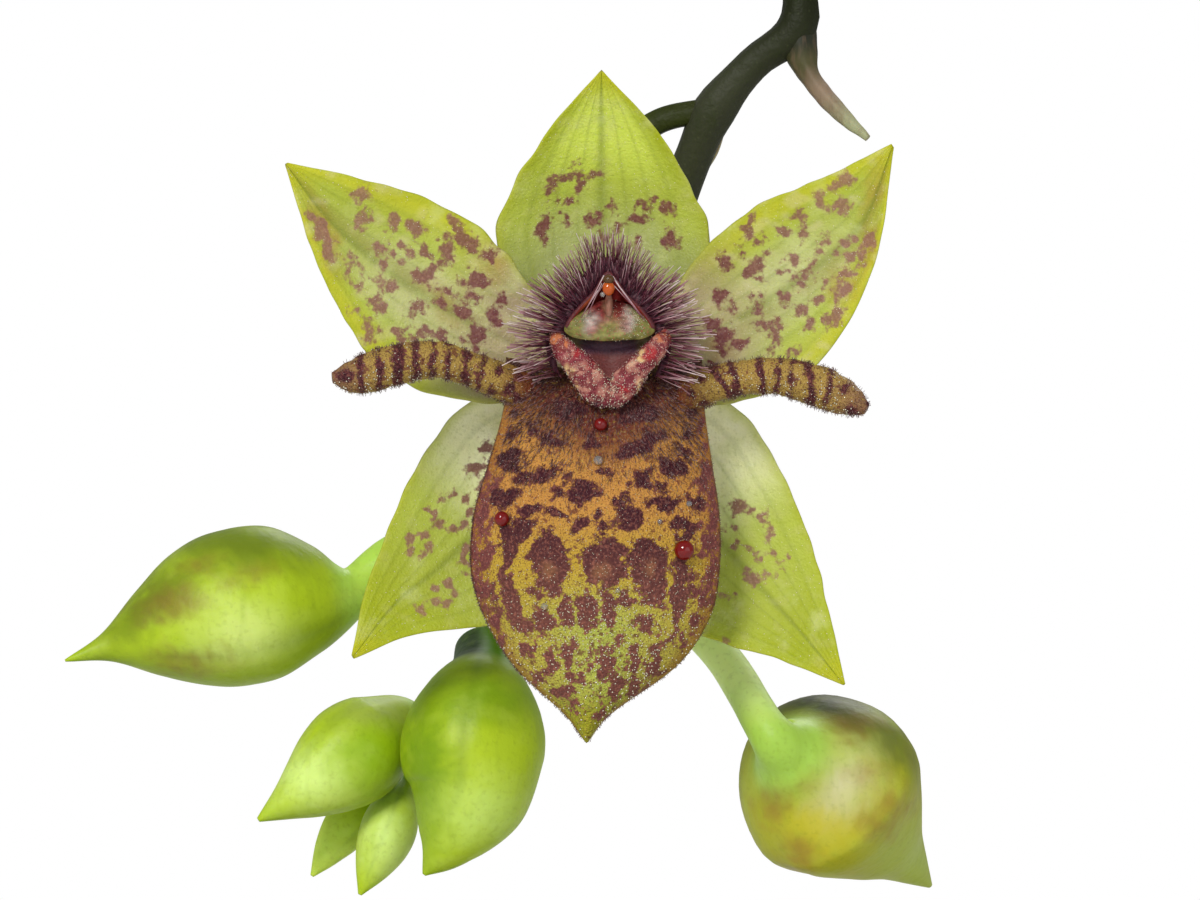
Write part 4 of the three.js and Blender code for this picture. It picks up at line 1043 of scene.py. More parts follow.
def lip_hairs(rings, s, edge, front, dark):
    """Velvet on the lip's face, papillae towards its tip and a fringe round its margin."""
    x, y = in_picture(rings)
    random = np.random.default_rng(51)
    velvet = front * (edge < 0.92) * (smooth(510, 410, y) + 0.07 + 0.2 * smooth(0, 0.3, dark))
    spots, out = sow(rings, velvet, 5200, 52)
    _, high = in_picture(spots)
    long = np.interp(high, [380, 470, 560], [0.36, 0.26, 0.1]) * random.uniform(0.6, 1.2, len(spots))
    flow = unit((spots - at((0.1, 0.8, 1.2))) * (1, 0, 1)) + np.array([0, 0, -0.4])
    aim = 0.4 * out + flow + 0.3 * random.normal(size=out.shape)
    scatter("lip_velvet", "lip", "lip", BRISTLE, spots, aim, long,
            Thickness=0.035, Bend=0.25, Steps=2, Seed=3, Coat=LIP_HAIR)
    tip = 0.35 + 1.6 * peak(x, 605, 60) * peak(y, 620, 50)
    glisten("lip_papillae", "lip", "lip", rings, 1700, (0.01, 0.03), 53, front * tip, 0.02)
    spots, out = sow(rings, (edge > 0.985) * smooth(0.16, 0.24, s), 1100, 54)
    away = unit(spots - at((-0.3, -6, 1.4))) + 0.4 * out + 0.3 * random.normal(size=spots.shape)
    scatter("lip_fringe", "lip", "lip", BRISTLE, spots, away, random.uniform(0.03, 0.09, len(spots)),
            Thickness=0.16, Bend=0.2, Steps=2, Seed=4, Coat=LIP_HAIR)


def lip_lobe():
    """The shield-shaped middle lobe, spotted and with a broken margin, with its hairs."""
    def relief(s, t, points):
        return 0.03 * ripple(points, 0.5, 41) + 0.07 * ripple(points, 2.2, 42)

    rings, s, t, face = blade(LIP_SHAPE, rows=170, half=60, thick=0.7, grow=relief)
    edge = np.abs(t)
    _, y = in_picture(rings)
    dark = inside(rings, enlarged(LIP_SPOTS, 1.16), fade=8, fray=7)
    band = smooth(0.78, 0.92, edge + 0.1 * ripple(rings, 0.4, 43))
    band = band * smooth(440, 480, y) * smooth(640, 590, y)
    pink = np.maximum(inside(rings, LIP_MARGIN, fade=8), band - 0.6)
    hearts = field(rings, inside(rings, LIP_HEARTS, fade=14))
    x, y = shown(rings)
    mark = blend((0.06, 0.006, 0.012), (0.27, 0.09, 0.06), smooth(500, 640, y))
    mark = blend(mark, (0.26, 0.07, 0.06), smooth(-0.2, 0.3, field(rings, pink - dark)))
    mark = blend(mark, (0.4, 0.17, 0.07), smooth(0, 0.8, hearts))
    # the strength of the painted glints, highest towards the lower middle
    glint = 0.25 + 0.6 * peak(x, 605, 70) * peak(y, 620, 60)
    piece("lip_lobe", "lip", "lip", LIP, loft(rings), tint=lip_tint(rings, edge), mark=mark,
          blotch=field(rings, np.maximum(dark, pink)), glint=glint)
    lip_hairs(rings, s, edge, np.where(face > 0, 1.0, 0.0), dark)
    return rings


def feeler(side):
    """A side lobe: banded and bristly like an insect's feeler."""
    count = 110
    line = at(spline(FEELERS[side], count, even=True))
    blunt = np.sqrt(np.clip((1.02 - np.linspace(0, 1, count)) / 0.07, 0.05, 1))
    rings = roughened(tube(line, profile(FEELER_RADII, count) * blunt, 28), line, 0.035, 0.4, 61)
    x, y = frayed(rings, 2.5)
    dark = inside(rings, FEELER_SPOTS[side], fray=2.5)
    for middle, half, slant in FEELER_BANDS[side]:
        dark = np.maximum(dark, (half - np.abs(x - middle - slant * (y - FEELER_MIDDLE[side]))) / 6)
    tint = blend((0.4, 0.26, 0.06), (0.24, 0.12, 0.06), smooth(0.8, 1, along(rings)))
    tint = blend(tint, (0.17, 0.03, 0.012), smooth(110, 70, field(rings, np.abs(x - FLOWER_MIDDLE[0]))))
    piece(side + "_feeler", "lip", "lip", LIP, loft(rings), tint=tint, mark=(0.1, 0.018, 0.024),
          blotch=field(rings, np.clip(dark, -1, 1)), glint=0.45)
    random = np.random.default_rng(62)
    spots, out = sow(rings, 0.22 + smooth(-0.1, 0.3, dark), 2600, 63)
    aim = out + 0.35 * random.normal(size=out.shape)
    scatter(side + "_feeler_bristles", "lip", "lip", BRISTLE, spots, aim,
            random.uniform(0.04, 0.15, len(spots)),
            Thickness=0.08, Bend=0.2, Steps=2, Seed=5, Coat=LIP_HAIR)
    glisten(side + "_feeler_cells", "lip", "lip", rings, 420, (0.015, 0.03), 64, 1.0, 0.03)


def callus_arm(arm, number):
    """Rings of one knobbly arm of the fork between its outer and its inner edge."""
    count = 64
    outer, inner = (at(seen(spline(arm[edge], count, even=True))) for edge in ("outer", "inner"))
    ends = np.sqrt(np.maximum(1 - np.abs(2 * np.linspace(0, 1, count) - 1) ** 7, 0.02))[:, None, None]
    turn = circle(30)[None, :, None]
    middle, half = (outer + inner)[:, None] / 2, 0.46 * (outer - inner)[:, None]
    rings = middle + ends * (half * np.cos(turn) + CALLUS_DEPTH * np.sin(turn) * np.array([0, -1, 0]))
    return middle + (rings - middle) * (1 + 0.13 * ripple(rings, 0.34, 71 + number))[..., None]


def callus():
    """The forked callus: two plushy arms that meet in a V."""
    skins, tints, dark = [], [], []
    for number, arm in enumerate(CALLUS_EDGES.values()):
        rings = callus_arm(arm, number)
        skins.append(loft(rings))
        mottle = field(rings, smooth(-0.5, 0.7, ripple(rings, 0.4, 70)))
        tint = blend((0.24, 0.025, 0.04), (0.46, 0.19, 0.14), mottle)
        for spots, colour in CALLUS_MARKS:
            tint = blend(tint, colour, field(rings, smooth(-0.2, 0.6, inside(rings, spots))))
        tints.append(tint)
        # painted shade on the lower ends of the arms
        dark.append(0.7 * smooth(398, 414, shown(rings)[1]))
        spots, out = sow(rings, 1.0, 620, 73 + number)
        random = np.random.default_rng(75)
        aim = out + 0.4 * random.normal(size=out.shape)
        long = random.uniform(0.04, 0.09, len(spots))
        scatter(f"callus_plush_{number + 1}", "lip", "lip", BRISTLE, spots, aim, long,
                Thickness=0.14, Bend=0.15, Steps=2, Seed=6, Coat=PLUSH)
        glisten(f"callus_cells_{number + 1}", "lip", "lip", rings, 260, (0.013, 0.026), 77, 1.0, 0.03)
    piece("callus", "lip", "lip", CALLUS, gather(skins), tint=np.vstack(tints), dark=np.concatenate(dark))


def drops(rings, places, material, prefix):
    """Round drops that stand on the front of a skin."""
    for number, (x, y, radius) in enumerate(places):
        centre = front_at(rings.reshape(-1, 3), x, y) - (0, 0.6 * radius, 0)
        ball = bead(centre, (radius, radius * 0.85, radius), 16, 24)
        piece(f"{prefix}_{number + 1}", "lip", "lip", material, loft(ball))


lip_rings = lip_lobe()
for side in FEELERS:
    feeler(side)
callus()
drops(lip_rings, RED_DROPS, RED_DROP, "red_drop")
drops(lip_rings, CLEAR_DROPS, CLEAR_DROP, "clear_drop")


# Column, anther cap and the crown of bristles

COLUMN_RIM = [  # the hood's front edge from its peak round by the right, in the photograph
    (608, 271), (625, 291), (642, 308), (655, 325), (652, 338), (638, 352),
    (611, 374), (584, 352), (569, 338), (565, 325), (577, 308), (593, 291),
]
COLUMN_MIDDLE = (609, 326)
COLUMN_DEPTHS = [  # w and the share of the rim's size, outside and then back inside
    (0.7, 0.6), (1.4, 0.68), (2.1, 0.8), (2.8, 0.93), (3.3, 1), (3.5, 0.99), (3.56, 0.94), (3.45, 0.88),
    (3.1, 0.84), (2.7, 0.8), (2.4, 0.62), (2.3, 0.25),
]
SHELF_RIM = [  # the pale shelf across the column, under its red inside
    (609, 299), (620, 301), (631, 305), (643, 312), (651, 321), (655, 331), (645, 338), (627, 340),
    (609, 341), (591, 340), (575, 338), (564, 331), (568, 321), (577, 312), (588, 305), (599, 301),
]
SHELF_MARKS = [
    ([(609, 303, 32, 10)], (0.13, 0.008, 0.008)),
    ([(599, 312, 8, 12, 20), (620, 311, 8, 12, -20)], (0.2, 0.02, 0.018)),
    ([(591, 323, 6, 11, -12), (628, 323, 6, 11, -12)], (0.5, 0.42, 0.37)),
    ([(596, 329, 6, 7), (622, 329, 6, 7)], (0.36, 0.17, 0.15)),
    ([(609, 313, 5, 18), (609, 325, 8, 6)], (0.25, 0.13, 0.07)),
    ([(609, 331, 7, 5)], (0.34, 0.34, 0.08)),
    ([(609, 338, 36, 2)], (0.3, 0.28, 0.09)),
]


def round_outline(points, count):
    """A closed smooth outline through points, in count even steps."""
    loop = np.array(points[-2:] + points + points[:2], float)
    fine = 40  # steps from one point to the next
    return evened(spline(loop, fine * (len(loop) - 1) + 1)[2 * fine:-fine], count, closed=True)


def sized(outline, middle, share, w):
    """The outline at a share of its size about its middle and at depth w, as points."""
    xy = np.array(middle) + share * (outline - middle)
    return at(seen(np.column_stack([xy, np.broadcast_to(w, len(xy))])))


def column_hood():
    """The hood: out from its back to the rim and in again to a hollow."""
    outline = round_outline(COLUMN_RIM, 72)
    back = 0.3 * smooth(300, 271, outline[:, 1]) + 0.85 * smooth(326, 344, outline[:, 1])
    steps = spline(COLUMN_DEPTHS, 76)
    rings = np.array([sized(outline, COLUMN_MIDDLE, share, w - back) for w, share in steps])
    rings = rings + 0.02 * ripple(rings, 0.4, 81)[..., None]
    inner = field(rings, smooth(40, 46, np.arange(len(rings)))[:, None])
    x, y = shown(rings)
    aside = np.abs(x - COLUMN_MIDDLE[0])
    tint = blend((0.09, 0.022, 0.026), (0.2, 0.016, 0.014), inner)
    tint = blend(tint, (0.4, 0.09, 0.02), inner * smooth(598, 588, x) * smooth(315, 300, y))
    tint = blend(tint, (0.11, 0.075, 0.03), smooth(330, 340, y) * smooth(24, 34, aside))
    tint = blend(tint, (0.045, 0.016, 0.03), inner * smooth(334, 342, y) * smooth(36, 26, aside))
    piece("column_hood", "column", "column", COLUMN, loft(rings), tint=tint, fleck=0.5 * (1 - inner))


def column_shelf():
    """The pale mottled shelf, domed in front and creased down its middle."""
    outline = round_outline(SHELF_RIM, 72)
    rings = []
    for step in np.linspace(0.02, math.pi - 0.02, 44):
        share = math.sin(step)
        x, y = (np.array(COLUMN_MIDDLE) + share * (outline - COLUMN_MIDDLE)).T
        crease = peak(x, COLUMN_MIDDLE[0], 5) * smooth(332, 318, y)
        bulge = 0.26 + 0.06 * crease if step < math.pi / 2 else -0.15
        w = 3.42 + math.sqrt(max(1 - share**2, 0)) * bulge - 0.5 * smooth(322, 299, y)
        rings.append(at(seen(np.column_stack([x, y, w]))))
    rings = np.array(rings) + 0.02 * ripple(np.array(rings), 0.3, 84)[..., None]
    tint = (0.2, 0.19, 0.04)
    for spots, colour in SHELF_MARKS:
        tint = blend(tint, colour, field(rings, smooth(-0.8, 0.8, inside(rings, spots, fade=9, fray=4))))
    tint = 0.8 * tint * (1 + 0.35 * field(rings, ripple(rings, 0.13, 89)))[:, None]
    piece("column_shelf", "column", "column", COLUMN, loft(rings), tint=tint, fleck=0.55)
    x, y = in_picture(rings)
    pale = peak(np.abs(x - COLUMN_MIDDLE[0]), 22, 9) * peak(y, 323, 9)
    glisten("column_cells", "column", "column", rings, 420, (0.01, 0.024), 86, 0.15 + 2 * pale, 0.01)


FLOOR_RIM = [  # the hollow under the shelf, down to the fork of the callus
    (609, 333), (632, 334), (656, 338), (646, 350), (629, 365), (611, 378), (593, 366), (575, 351),
    (562, 338), (586, 334),
]
FLOOR_MIDDLE = (609, 350)


def column_floor():
    """The dark floor of the hollow, and the short ridge that runs up the column's middle."""
    outline = round_outline(FLOOR_RIM, 60)
    rings = []
    for step in np.linspace(0.02, math.pi - 0.02, 40):
        w = 3.05 - (0.5 if step < math.pi / 2 else 0.9) * math.cos(step) ** 2
        rings.append(sized(outline, FLOOR_MIDDLE, math.sin(step), w))
    rings = np.array(rings) + 0.012 * ripple(np.array(rings), 0.3, 87)[..., None]
    x, y = shown(rings)
    tint = blend((0.03, 0.011, 0.014), (0.075, 0.03, 0.05), smooth(341, 347, y))
    tint = blend(tint, (0.13, 0.035, 0.032), smooth(350, 357, y))
    aside = np.abs(x - FLOOR_MIDDLE[0])
    tint = blend(tint, (0.11, 0.08, 0.025), smooth(24, 34, aside) * smooth(334, 340, y))
    piece("column_floor", "column", "column", COLUMN, loft(rings), tint=tint, fleck=0.15)
    ridge = bead(at(seen([(609, 307, 3.42)]))[0], (0.15, 0.27, 0.7), 24, 30, 0.05, 85)
    piece("rostellum", "column", "column", COLUMN, loft(ridge), tint=(0.26, 0.12, 0.08), fleck=0.5)


def anther_cap():
    """The anther cap on the column's peak with two drops on it."""
    for name, coat, place, radii, rows, sides, bumps in (
        ("anther_cap", ANTHER, (608.6, 288, 4.0), (0.24, 0.25, 0.3), 24, 30, 0.03),
        ("anther_drop", AMBER_DROP, (608.6, 279.5, 4.06), (0.22, 0.22, 0.2), 18, 24, 0),
        ("nectar_drop", CLEAR_DROP, (602.6, 294.5, 4.05), (0.1, 0.1, 0.1), 14, 20, 0),
    ):
        ball = bead(at(seen([place]))[0], radii, rows, sides, bumps, 88)
        piece(name, "anther_cap", "anther", coat, loft(ball))


PEAK_HAIRS = [  # hairs that lean on the hood's rim towards its peak: foot and tip in the photograph
    ((585, 311), (605, 276)), ((588, 314), (601, 283)), ((581, 318), (597, 290)), ((592, 303), (606, 280)),
    ((640, 315), (614, 281)), ((636, 310), (612, 277)), ((644, 319), (621, 289)), ((630, 303), (612, 284)),
]


def peak_hairs():
    """The pale hairs that close over the hood."""
    feet = at(seen([(x, y, 3.75) for (x, y), _ in PEAK_HAIRS]))
    tips = at(seen([(x, y, 3.95) for _, (x, y) in PEAK_HAIRS]))
    long = np.linalg.norm(tips - feet, axis=1)
    scatter("peak_hairs", "bristle_crown", "bristle", BRISTLE, feet, tips - feet, long,
            Thickness=0.016, Bend=0.03, Steps=3, Seed=9, Coat=PALE_HAIR)


CROWN_ARCH = [  # the bristles' ridge, from its left end over the column's peak, in the photograph, with w
    (562, 378, 2.3), (554, 364, 2.6), (552, 347, 2.8), (559, 330, 2.85), (571, 310, 2.75), (587, 288, 2.6),
    (602, 270, 2.5), (615, 270, 2.5), (630, 288, 2.6), (646, 309, 2.75), (658, 328, 2.85), (665, 346, 2.8),
    (664, 362, 2.6), (656, 377, 2.3),
]
CROWN_KINDS = [  # name, count, coat, least and most length and thickness
    ("crown_bristles", 1500, CROWN_HAIR, 0.8, 1.8, 0.015),
    ("pale_bristles", 430, PALE_HAIR, 1.1, 2.1, 0.011),
]


def bristle_crown():
    """A ridge over the column's peak, set with bristles that stand away from the column's middle."""
    line = at(spline(seen(CROWN_ARCH), 120, even=True))
    radii = profile((0.06, 0.24, 0.42, 0.46, 0.46, 0.42, 0.24, 0.06), 120)
    rings = roughened(tube(line, radii, 20), line, 0.06, 0.5, 91)
    piece("bristle_ridge", "bristle_crown", "bristle", COLUMN, loft(rings),
          tint=(0.06, 0.014, 0.026), fleck=0.2)
    random = np.random.default_rng(92)
    centre = at(seen([(609, 338, 2.4)])[0])
    for number, (name, many, coat, least, most, thick) in enumerate(CROWN_KINDS):
        spots, out = sow(rings, 1.0, many, 93 + number)
        radial = unit((spots - centre) * (1, 0, 1))
        radial[:, 2] = np.maximum(radial[:, 2], -0.12)
        lean = random.uniform(0.0, 0.8, len(spots))[:, None] * (0, -1, 0)
        aim = radial + lean + 0.2 * out + 0.16 * random.normal(size=spots.shape)
        keep = (np.einsum("ij,ij->i", unit(aim), out) > -0.1) & (out[:, 1] < 0.6)
        spots, aim, radial = spots[keep], aim[keep], radial[keep]
        reach = random.uniform(least, most, len(spots)) * (1 - 0.32 * smooth(0.5, 1, radial[:, 2]))
        scatter(name, "bristle_crown", "bristle", BRISTLE, spots, aim, reach,
                Thickness=thick, Bend=0.04, Steps=3, Seed=7, Coat=coat)


column_hood()
column_shelf()
column_floor()
anther_cap()
peak_hairs()
bristle_crown()


# Flower stem with its sheaths, the ovary and the bracts

NODES = {
    "spent": (8, 14.9, -8), "open": (4.6, 11.5, -8.5), "left": (-1.32, -2.8, -10),
    "right": (-2, -5.5, -10.1), "big": (-4.9, -11, -9.6),
}
STEM_LINE = np.vstack([
    [
        (11.4, 1.4, 66.2), (11.6, -0.6, 76), (12.5, -3, 94), (14.6, -4.4, 120), (15.6, -5.4, 148),
        (14.6, -7, 172), (11, -10.4, 190), (3.6, -16.6, 200.6), (-4.6, -23.2, 198), (-9.2, -27.2, 189.6),
    ],
    at([
        (8.1, 17.6, -8.1), NODES["spent"], (6.2, 13.4, -8.2), NODES["open"], (3.7, 9.5, -9),
        (2.9, 7.4, -9.7), (1.4, 3, -10.4), NODES["left"], NODES["right"], NODES["big"],
        (-5.6, -12.8, -10), (-7.3, -14.8, -10.9), (-8.3, -16.6, -11.1),
    ]),
])
STEM_RADII = (1.1, 1.02, 0.98, 0.94, 0.9, 0.87, 0.83, 0.74, 0.62, 0.66, 0.9, 0.6)
SHEATH_STARTS = (0.12, 0.28, 0.44)  # shares of the way up the stem
SHEATH_SHARE = 0.05  # of the stem's length
OVARY_LINE = [
    NODES["open"], (2.2, 10.95, -8.9), (0.5, 9.3, -9.1), (-0.1, 5.6, -8), (0, 2, -5.2), (0, 0.6, -3.2),
    (0, 0.3, -1.9),
]
RECEPTACLE_LINE = [(0, 0.3, -2.2), (0, 0.3, -1.2), (0, 0.3, -0.2), (0, 0.3, 0.8)]
SPENT = {  # the bract of an older flower, rolled round the stub of its stalk
    "line": [
        (8, 14.9, -8.1), (8.25, 13.4, -7.8), (8.7, 12.5, -7.4), (9.4, 11.6, -7), (10.1, 10.9, -6.8),
        (10.85, 10.2, -6.6),
    ],
    "radii": (0.75, 0.66, 0.4, 0.38, 0.3, 0.14),
}
BRACTS = {
    "open_bract": [(4.5, 10.9, -9.5), (4.1, 9.9, -10), (3.6, 8.8, -10.4), (3.1, 7.8, -10.8)],
    "left_bract": [(-2, -2.2, -11), (-3, -3, -11.4), (-4.2, -3.6, -11.5), (-5.4, -4.4, -11.3)],
    "right_bract": [(-1, -5.8, -11.1), (-0.2, -6.9, -11.4), (0.5, -8, -11.4), (1, -9.2, -11.1)],
}
BRACT_HALF_WIDTHS = (0.6, 0.65, 0.42, 0.06)


def stem_sheath(number, part, girth):
    """A papery sheath that clasps a part of the stem and runs out to a point on one side."""
    count, sides = 60, 36
    body = profile((1.02, 1.3, 1.38, 1.36, 1.3, 1.22, 1.12), count) * girth
    rings = tube(spline(part, count), body, sides,
                 lambda turn: 1 + 0.02 * np.cos(18 * turn) + 0.05 * hood(turn, 1.2, 0.12))
    angle = circle(sides)
    climb = smooth(0.35, 1, np.linspace(0, 1, count))[:, None] * (2.4 * hood(angle, 4.3, 1.1)[None] - 0.6)
    rings = rings + climb[..., None] * unit(part[-1] - part[0])
    tint = blend((0.3, 0.24, 0.13), (0.5, 0.4, 0.27), smooth(0.5, 1, along(rings)))
    piece(f"stem_sheath_{number}", "flower_stem", "stem", PAPERY, loft(rings), tint=tint)


def flower_stem():
    """The stem, green at its foot, dark where it arches over and bright again between the buds, where
    painted light lightens its right side.
    """
    count = 420
    line = spline(STEM_LINE, count, even=True)
    swell = sum(0.16 * peak(np.linalg.norm(line - at(node), axis=1), 0, 1.1) for node in NODES.values())
    radii = profile(STEM_RADII, count) + swell
    rings = tube(line, radii, 28, lambda turn: 1 + 0.025 * np.cos(6 * turn))
    high = field(rings, rings[..., 2])
    hangs = smooth(0.74, 0.76, along(rings))
    painted_light_side = smooth(0, 0.6, field(rings, rings[..., 0] - line[:, None, 0]))
    tint = blend((0.08, 0.13, 0.012), (0.012, 0.015, 0.004), smooth(90, 150, high))
    tint = blend(tint, (0.036, 0.04, 0.02), hangs * smooth(182, 178, high))
    tint = blend(tint, (0.05, 0.09, 0.002), hangs * smooth(174, 164, high))
    # painted light: the stem's right side is lightened between the buds
    tint = blend(tint, (0.2, 0.36, 0.008), hangs * painted_light_side * smooth(168, 160, high))
    piece("flower_stem", "flower_stem", "stem", STEM, loft(rings), tint=tint)
    for number, start in enumerate(SHEATH_STARTS):
        first, last = int(start * count), int((start + SHEATH_SHARE) * count)
        stem_sheath(number + 1, line[first:last + 1:3], radii[first] / 0.98)


def ovary():
    """The ovary, which thins to its stalk, and the receptacle that joins it to the flower."""
    line = at(spline(OVARY_LINE, 130, even=True))
    radii = profile((0.5, 0.52, 0.56, 0.62, 0.78, 0.95, 1.0), 130)
    rings = tube(line, radii, 36, lambda turn: 1 + 0.07 * np.cos(3 * turn) + 0.02 * np.cos(6 * turn))
    tint = blend((0.025, 0.032, 0.005), (0.2, 0.3, 0.02), smooth(655, 600, shown(rings)[0]))
    piece("ovary", "ovary", "ovary", STEM, loft(rings), tint=tint)
    pin = tube(at(spline(RECEPTACLE_LINE, 24)), np.full(24, 0.4), 20)
    piece("receptacle", "ovary", "ovary", STEM, loft(pin), tint=(0.26, 0.36, 0.05))


def spent_bract():
    """The rolled bract of an older flower, from dark stub to pale dry tip."""
    count = 110
    line = at(spline(SPENT["line"], count, even=True))
    rings = tube(line, profile(SPENT["radii"], count), 32,
                 lambda turn: 1 + 0.04 * np.cos(5 * turn) + 0.08 * hood(turn, 2, 0.25))
    rings = roughened(rings, line, 0.03, 0.7, 95)
    way = along(rings)
    tint = blend((0.012, 0.015, 0.004), (0.06, 0.055, 0.014), smooth(0.12, 0.3, way))
    tint = blend(tint, (0.24, 0.17, 0.11), smooth(0.3, 0.55, way))
    tint = blend(tint, (0.34, 0.36, 0.2), smooth(0.55, 0.9, way))
    piece("spent_bract", "spent_bract", "bract", PAPERY, loft(rings), tint=tint)


def bract(name, line):
    """A small cupped scale along a line."""
    def relief(s, t, points):
        return 0.03 * np.cos(22 * t) + 0.03 * ripple(points, 0.8, 7)

    points = np.array(line, float)
    run = unit(np.gradient(points, axis=0) * (1, 1, 0))
    half = np.array(BRACT_HALF_WIDTHS)[:, None]
    side = np.column_stack([-run[:, 1], run[:, 0], np.zeros(len(run))]) * half
    cupped = np.array([0, 0, 0.3])
    shape = {"left": points + side + cupped, "rib": points, "right": points - side + cupped, "bulge": 0.05}
    rings, s, _, _ = blade(shape, rows=60, half=14, thick=0.2, grow=relief)
    tint = blend((0.24, 0.22, 0.13), (0.42, 0.4, 0.27), smooth(0.2, 0.9, field(rings, s)))
    piece(name, name, "bract", PAPERY, loft(rings), tint=tint)


flower_stem()
ovary()
spent_bract()
for name, line in BRACTS.items():
    bract(name, line)


# Buds

BUDS = {
    "left_bud": {
        "line": [NODES["left"], (-5.4, -5.1, -8.8), (-9.2, -7.4, -7.7), (-10.8, -8.55, -7.2),
                 (-14.6, -9.05, -6.5), (-18.2, -10, -5.8), (-22, -11.2, -5)],
        "radii": (0.5, 0.6, 0.7, 0.82, 0.92, 0.95, 0.95, 2.2, 3.15, 3.25, 2.8, 1.8, 0.62, 0.05),
        "spots": [(172, 603, 44, 22, 12), (196, 568, 26, 12, 20), (195, 661, 52, 15, 0),
                  (250, 575, 30, 14, 10)],
        "patches": [((0.14, 0.2, 0.004), [(235, 541, 90, 26, -4), (150, 600, 60, 20, 40)]),
                    # the pale patch on the next line is a painted highlight
                    ((0.62, 0.75, 0.2), [(240, 635, 34, 22)])],
        "turn": 0.4,
    },
    "right_bud": {
        "line": [NODES["right"], (1.4, -7.9, -9.2), (4.7, -10.9, -6.6), (6.6, -13.9, -4),
                 (7.5, -14.9, -4.5), (9.1, -16.3, -7), (11.4, -18.6, -9.6), (13.7, -20.9, -12.2)],
        "radii": (0.5, 0.55, 0.6, 0.65, 0.7, 0.72, 0.74, 0.76, 0.78, 0.8, 0.95, 1.7, 3.15, 3.8, 3.65, 3,
                  2.2, 1.4, 0.75, 0.12),
        "spots": [(772, 805, 24, 28), (802, 853, 28, 20), (877, 823, 28, 24), (893, 803, 24, 26),
                  (869, 774, 26, 18), (802, 783, 20, 11), (856, 724, 34, 18)],
        "patches": [((0.035, 0.045, 0.003), [(815, 702, 66, 20, -12), (890, 735, 30, 16, -50)]),
                    # on the next line, (0.62, 0.6, 0.36) is a painted highlight
                    ((0.5, 0.45, 0.02), [(828, 828, 44, 30)]), ((0.62, 0.6, 0.36), [(838, 778, 24, 24)]),
                    ((0.42, 0.5, 0.12), [(838, 744, 26, 12)]), ((0.38, 0.48, 0.06), [(915, 860, 34, 34)])],
        "turn": 1.1,
    },
    "big_bud": {
        "line": [NODES["big"], (-4.9, -11.9, -8.2), (-5.1, -13.1, -6.8), (-5.4, -14.8, -6.1),
                 (-5.6, -16.8, -5.7), (-6.5, -18.8, -5.3), (-7.35, -19.95, -5.1)],
        "radii": (1.3, 1.4, 1.7, 2.4, 2.85, 2.95, 2.75, 2.35, 1.75, 0.95, 0.08),
        "patches": [((0.18, 0.31, 0.003), [(478, 698, 60, 24), (424, 765, 24, 80)]),
                    # the pale patch on the next line is a painted highlight
                    ((0.5, 0.68, 0.13), [(480, 812, 30, 24)])],
        "turn": 0.9,
    },
    "middle_bud": {
        "line": [(-7.1, -14.2, -10.8), (-8.3, -13.9, -9.5), (-9.6, -14.6, -8.6), (-11, -15.6, -7.8),
                 (-12.6, -16.8, -7.1), (-14.2, -17.8, -6.6)],
        "radii": (0.4, 0.7, 1.4, 2, 2.15, 1.9, 1.35, 0.7, 0.1),
        # the first, palest patch on the next line is a painted highlight
        "patches": [((0.62, 0.8, 0.22), [(310, 778, 34, 24)]), ((0.24, 0.42, 0.002), [(368, 754, 26, 24)]),
                    ((0.3, 0.36, 0.08), [(385, 708, 30, 12)])],
        "turn": 0.2,
    },
    "small_bud": {
        "line": [(-8.3, -16.4, -10.6), (-8.6, -17.3, -9.6), (-9, -18.5, -9), (-9.5, -19.7, -8.6),
                 (-10.1, -21, -8.3)],
        "radii": (0.4, 0.8, 1.15, 1.1, 0.7, 0.08),
        # this pale patch is a painted highlight
        "patches": [((0.62, 0.8, 0.24), [(386, 838, 18, 26)])],
        "turn": 0.5,
    },
    "tip_bud": {
        "line": [(-8.5, -16.8, -11.4), (-9.4, -17.2, -11.8), (-10.4, -18, -11.6), (-11.3, -19.1, -11.2),
                 (-12.2, -20.4, -10.8)],
        "radii": (0.4, 0.75, 1.05, 0.95, 0.6, 0.08),
        "patches": [((0.6, 0.8, 0.12), [(326, 852, 22, 24)])],
        "turn": 0.1,
    },
}
BUD_LIGHT = (0.4, 0.54, 0.012)
BUD_DEEP = (0.17, 0.27, 0.003)
STALK = (0.42, 0.66, 0.08)


def stalk_tint(name, x, y):
    """A bud stalk's colour: on the right bud painted light brightens the stalk's top, and on the big bud
    the stalk runs from dark on its left to light on its right, painted shade and light along with the dark
    of the stem beside it.
    """
    if name == "right_bud":
        # painted light: the top of the right bud's stalk is brightened against the shade of the lip and
        # sepal
        return blend((0.34, 0.54, 0.07), (0.8, 1, 0.36), smooth(735, 670, y))
    if name == "big_bud":
        # painted shade on the left and painted light on the right, along with the dark of the stem beside
        # the stalk
        return blend((0.025, 0.06, 0.001), (0.15, 0.34, 0.002), smooth(474, 492, x))
    return STALK


